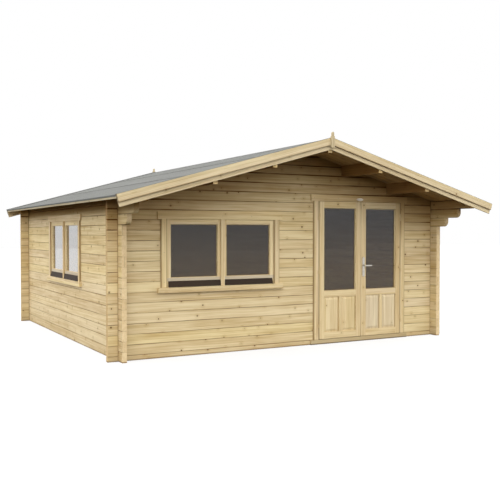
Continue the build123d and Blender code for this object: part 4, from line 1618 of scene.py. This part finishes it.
@dataclass
class Doors:
    """The double door: its frame, leaves, panes, panels, hinges, handle and the small fitting above it.
    Distances along the wall are from the door's middle, but the places of the fitting, the spindle and the
    plate are the cabin's own. Heights are a foot and a top, beads are width, depth and back, and a screw or
    a cap is its radius and height."""

    effects: Effects
    wall: float = -2.0275
    middle: float = 1.05
    jamb: Span = (0.66, 0.73)
    jamb_heights: Span = (0.0, 1.888)
    stile: float = 0.08
    muntin: float = 0.04
    leaf_inner: float = 0.0035
    leaf_outer: float = 0.683
    leaf_heights: Span = (0.06, 1.9)
    leaf_start: float = 730.0
    leaf_step: float = 20.0
    panel_step: float = 7.0
    bead_step: float = 13.0
    pane: Span = (0.697, 1.799)
    panel: Span = (0.154, 0.621)
    outer_bead: tuple[float, float, float] = (0.006, 0.007, -0.0035)
    inner_bead: tuple[float, float, float] = (0.011, -0.0095, -0.0085)
    bead_grain: Span = (0.02, 0.011)
    bead_heights: Span = (0.1, 1.85)
    trims: Trims = DOOR_TRIMS
    trim_grain: Span = (0.68, 0.77)
    oval_half: Span = (0.0565, 0.0205)
    oval_height: float = 0.016
    oval_place: Span = (1.032, 1.918)
    oval_points: int = 40
    spindle: Span = (1.0935, 1.025)
    plate_faces: Span = (-2.0518, -2.0032)
    plate_edge: float = 1.0755
    plate_heights: Span = (0.895, 1.14)
    plate_screws: Span = (-0.139, 0.101)
    plate_screw: Span = (0.0046, 0.0016)
    collar_radii: tuple[float, float, float] = (0.0102, 0.0165, 0.0148)
    collar_levels: tuple[float, float, float] = (0.0018, 0.0038, 0.0042)
    sunk: float = 0.001
    barrel_drop: float = 0.072
    barrel: tuple[float, float, float] = (0.0085, 0.005, 0.0195)
    barrel_height: float = 0.0026
    slot_half: Span = (0.0008, 0.0042)
    slot_levels: Span = (0.002, 0.0028)
    hinge_levels: tuple[float, ...] = (0.2661, 0.9745, 1.6829)
    hinge_reach: float = 0.6855
    hinge_axis: float = -2.0555
    hinge_cap: Span = (0.0048, 0.0032)
    cap_level: float = 0.0452
    flap_face: float = -2.0503
    flap_screw: Span = (0.0027, 0.0011)
    flap_screws: Span = (0.011, 0.034)
    flap_screw_reach: float = 0.0135

    def build(
        self, glass: bpy.types.Material, metal: bpy.types.Material, sand: bpy.types.Material,
        steel: bpy.types.Material,
    ) -> None:
        """Dresses the door's nodes and fits its small pieces.

        Args:
            glass: The panes' finish.
            metal: The handle's finish.
            sand: The hinges' finish.
            steel: The nails' finish.
        """
        # The frame and surround get painted shade along the trims' edges and under the roof.
        m, trim_shade_lines = self.middle, self.trims.shade_lines(self.middle)
        members = (
            ("frame", self.jamb, self.jamb_heights, 700.0),
            ("surround", self.trim_grain, self.trims.heights, 711.0),
        )
        for part, (near, far), heights, start in members:
            uprights = ((m - far, m - near, *heights), (m + near, m + far, *heights))
            finish = JoineryFinish(
                f"door_{part}", JOINERY_TIMBER, Face.FRONT, start, uprights, trim_shade_lines, roof=JOINERY_ROOF_SHADE
            )
            dress((finish.name,), finish.material(self.effects))
        for side, sign in (("left", -1), ("right", 1)):
            self.leaf(side, sign, glass)
        dress(("door_frame_hinges", "left_leaf_hinges", "right_leaf_hinges"), sand)
        dress(("door_handle_plates", "door_lever"), metal)
        self.furniture(metal)
        self.hinge_caps(sand)
        heads = self.trims.nails(Face.FRONT, self.wall, m)
        heads.piece("door_trim_nails", steel, "cabin", "hardware", SMOOTH_ANGLE)
        cream = StainFinish("header_fitting", tone(246, 238, 222), tone(232, 222, 200), rough=0.35)
        across, up = self.oval_half[0] * RIGHT, self.oval_half[1] * UP
        oval = turned_head(1.0, self.oval_height, across, up, OUT, self.oval_points)
        place = np.array([[self.oval_place[0], self.wall - self.trims.thickness, self.oval_place[1]]])
        oval.repeated(place).piece(
            "header_fitting", cream.material(self.effects), "cabin", "hardware", SMOOTH_ANGLE
        )

    def leaf(self, side: str, sign: int, glass: bpy.types.Material) -> None:
        """Dresses one leaf and fits its glazing beads.

        Args:
            side: left or right.
            sign: -1 for the left leaf, 1 for the right one.
            glass: The panes' finish.
        """
        near, far = sorted(self.middle + sign * d for d in (self.leaf_inner, self.leaf_outer))
        inner, outer = near + self.stile, far - self.stile
        muntin = ((near + far - self.muntin) / 2, (near + far + self.muntin) / 2)
        stiles = tuple((*edges, *self.leaf_heights) for edges in ((near, inner), (outer, far)))
        start = self.leaf_start + self.leaf_step * sign
        # Painted shade along the leaf's outer edge and, on the right leaf, beside the handle plate.
        hung = (ShadeLine(self.middle + sign * self.leaf_outer, *self.trims.heights),)
        if sign > 0:
            hung += (ShadeLine(self.plate_edge, *self.plate_heights),)
        uprights = (*stiles, (*muntin, *self.panel))
        leaf = JoineryFinish(f"{side}_door_leaf", JOINERY_TIMBER, Face.FRONT, start, uprights, hung)
        # Painted shade along the edges of the sunk panels.
        sunk = tuple(ShadeLine(edge, *self.panel) for edge in (inner, *muntin, outer))
        wood = PANEL_TIMBER if sign > 0 else JOINERY_TIMBER
        panels = JoineryFinish(
            f"{side}_door_panels", wood, Face.FRONT, start + self.panel_step,
            ((near, far, *self.panel),), sunk,
        )
        for finish in (leaf, panels):
            dress((finish.name,), finish.material(self.effects))
        dress((f"{side}_door_glass",), glass)
        back, over = self.bead_grain
        rims = ((inner - back, inner + over), (outer - over, outer + back))
        sides = tuple((*rim, *self.bead_heights) for rim in rims)
        beads = JoineryFinish(
            f"{side}_door_beads", JOINERY_TIMBER, Face.FRONT, start + self.bead_step, sides
        )
        corners = (inner, self.pane[0]), (outer, self.pane[1])
        outlines = (ovolo(*bead) for bead in (self.outer_bead, self.inner_bead))
        frames = [framed(outline, *corners, self.wall, Face.FRONT) for outline in outlines]
        Surface.joined(frames).piece(
            beads.name, beads.material(self.effects), f"{side}_leaf", "joinery_wood", BEAD_ANGLE
        )

    def furniture(self, metal: bpy.types.Material) -> None:
        """Fits a spindle collar, two screws and a lock barrel to the plate on each face of the leaf.

        Args:
            metal: The handle's finish.
        """
        (bore, rim, brow), (shoulder, bend, crest) = self.collar_radii, self.collar_levels
        back = -self.sunk
        ring = np.array([[bore, back], [rim, back], [rim, shoulder], [brow, bend], [bore, crest]])
        slit = np.array([[-1, -1], [1, -1], [1, 1], [-1, 1]]) * self.slot_half
        parts, slots = [], []
        for face, out in zip(self.plate_faces, (OUT, -OUT)):
            spindle = np.array([[self.spindle[0], face, self.spindle[1]]])
            parts.append(turned_ring(ring, RIGHT, UP, out).repeated(spindle))
            screws = spindle + np.array(self.plate_screws)[:, None] * UP
            parts.append(turned_head(*self.plate_screw, RIGHT, UP, out).repeated(screws))
            lock = spindle[0] - self.barrel_drop * UP
            outline = barrel_outline(*self.barrel)
            parts.append(bar(outline, lock - self.sunk * out, lock + self.barrel_height * out, RIGHT, UP))
            ends = (lock + level * out for level in self.slot_levels)
            slots.append(bar(slit, *ends, RIGHT, UP))
        Surface.joined(parts).piece("door_plate_fittings", metal, "right_leaf", "hardware", SMOOTH_ANGLE)
        # The key slots are dark sheets painted where the keyways would lie in shade.
        shadow = StainFinish("key_slots", tone(26, 24, 22), tone(38, 35, 31), rough=0.6)
        slits = Surface.joined(slots)
        slits.piece("door_key_slots", shadow.material(self.effects), "right_leaf", "hardware")

    def hinge_caps(self, sand: bpy.types.Material) -> None:
        """Fits pin caps and flap screws to the hinges: leaf halves above each level, frame halves below it.

        Args:
            sand: The hinges' finish.
        """
        levels = np.array(self.hinge_levels)
        holders = (("left_leaf", (-1,), 1), ("right_leaf", (1,), 1), ("cabin", (-1, 1), -1))
        for body, sides, way in holders:
            cap = turned_head(*self.hinge_cap, RIGHT, OUT, way * UP)
            screw = turned_head(*self.flap_screw, RIGHT, UP, OUT)
            tops = levels + way * self.cap_level
            heights = (levels[:, None] + way * np.array(self.flap_screws)).ravel()
            parts = []
            for side in sides:
                x = self.middle + side * self.hinge_reach
                parts.append(cap.repeated(Face.FRONT.placed(x, self.hinge_axis, tops)))
                across = x - side * way * self.flap_screw_reach
                parts.append(screw.repeated(Face.FRONT.placed(across, self.flap_face, heights)))
            Surface.joined(parts).piece(f"{body}_hinge_caps", sand, body, "hardware", SMOOTH_ANGLE)


@dataclass
class Studio:
    """The camera, a white surround, soft light and a pale floor."""

    eye: tuple[float, float, float] = (-5.130, -10.086, 1.464)
    turn: tuple[float, float, float] = (88.70, 0.0, -29.01)
    lens: float = 53.17
    sensor: float = 36.0
    dome: float = 1.92
    key: float = 0.4
    key_colour: tuple[float, float, float] = (1.0, 0.97, 0.92)
    key_turn: tuple[float, float, float] = (56.0, 0.0, -41.0)
    key_spread: float = 40.0
    white: Colour = (1.0, 1.0, 1.0, 1.0)
    floor_half: float = 60.0
    floor_level: float = -0.0006
    floor_tone: Colour = tone(50, 50, 50)
    floor_seen: Colour = tone(124, 124, 124)
    floor_glow: float = 0.78

    def build(self) -> None:
        """Sets up the camera, the light and the floor."""
        scene = bpy.context.scene
        scene.view_settings.view_transform = "Standard"
        lens = bpy.data.cameras.new("camera")
        lens.lens, lens.sensor_width = self.lens, self.sensor
        camera = bpy.data.objects.new("camera", lens)
        camera.location = self.eye
        camera.rotation_euler = [math.radians(angle) for angle in self.turn]
        scene.collection.objects.link(camera)
        scene.camera = camera
        lamp = bpy.data.lights.new("key", "SUN")
        lamp.energy, lamp.angle, lamp.color = self.key, math.radians(self.key_spread), self.key_colour
        key = bpy.data.objects.new("key", lamp)
        key.rotation_euler = [math.radians(angle) for angle in self.key_turn]
        scene.collection.objects.link(key)
        self.surround()
        self.floor()

    @staticmethod
    def seen(graph: Graph) -> bpy.types.NodeSocket:
        """Tells looks from light: 1 for rays from the camera or off metal and glass, 0 for those that carry
        light.

        Args:
            graph: The graph to add to.

        Returns:
            The number's socket.
        """
        rays = graph.node("ShaderNodeLightPath").outputs
        gloss = graph.most(rays["Is Glossy Ray"], rays["Is Transmission Ray"])
        return graph.most(rays["Is Camera Ray"], gloss)

    def surround(self) -> None:
        """A world that is white to look at, and lights the cabin as a soft dome."""
        world = bpy.data.worlds.new("surround")
        world.use_nodes = True
        bpy.context.scene.world = world
        graph = Graph(world.node_tree)
        world.node_tree.nodes.clear()
        shown, light = (
            graph.fed("ShaderNodeBackground", ("Color", "Strength"), (self.white, strength)).outputs[0]
            for strength in (1.0, self.dome)
        )
        both = graph.fed("ShaderNodeMixShader", range(3), (self.seen(graph), light, shown))
        graph.fed("ShaderNodeOutputWorld", (0,), (both.outputs[0],))

    def floor(self) -> None:
        """A flat pale floor that keeps the cabin's shadow and is white in the open."""
        half = self.floor_half
        mesh = bpy.data.meshes.new("floor")
        corners = ((-half, -half), (half, -half), (half, half), (-half, half))
        mesh.from_pydata([(x, y, self.floor_level) for x, y in corners], [], [(0, 1, 2, 3)])
        coat = Coat("floor")
        seen = self.seen(coat.graph)
        coat.set(Base_Color=coat.graph.mix(seen, self.floor_tone, self.floor_seen), Roughness=0.95)
        coat.set(Emission_Color=self.white, Specular_IOR_Level=0.0)
        coat.set(Emission_Strength=coat.graph.times(seen, self.floor_glow))
        mesh.materials.append(coat.material)
        floor = bpy.data.objects.new("floor", mesh)
        bpy.context.scene.collection.objects.link(floor)


def main() -> None:
    """Builds the scene in order."""
    logging.basicConfig(level=logging.INFO, format="%(name)s: %(message)s")
    effects = Effects()
    Studio().build()
    Walls(effects).build()
    Roof(effects).build()
    glass = GlassFinish("window_glass", tone(190, 162, 118), tone(150, 146, 146)).material(effects)
    stain = StainFinish("weather_bars", tone(50, 38, 27), tone(70, 54, 38), rough=0.5).material(effects)
    metal = MetalFinish("door_furniture", tone(196, 190, 178), Run.UP_FRONT, rough=0.16).material(effects)
    steel = MetalFinish("trim_nails", tone(152, 146, 134), Run.UP_FRONT, rough=0.4).material(effects)
    front = Window(effects, "front", Face.FRONT, JOINERY_ROOF_SHADE, wall=-2.0275, middle=-1.05, start=800.0)
    left = Window(effects, "left", Face.SIDE, LEFT_ROOF_SHADE, wall=-2.375, middle=0.2675, start=856.0)
    for window in (front, left):
        window.build(glass, stain, steel)
    sand = StainFinish("hinge_coat", tone(206, 182, 138), tone(190, 164, 118), rough=0.4).material(effects)
    Doors(effects).build(glass, metal, sand, steel)


if __name__ == "__main__":
    main()
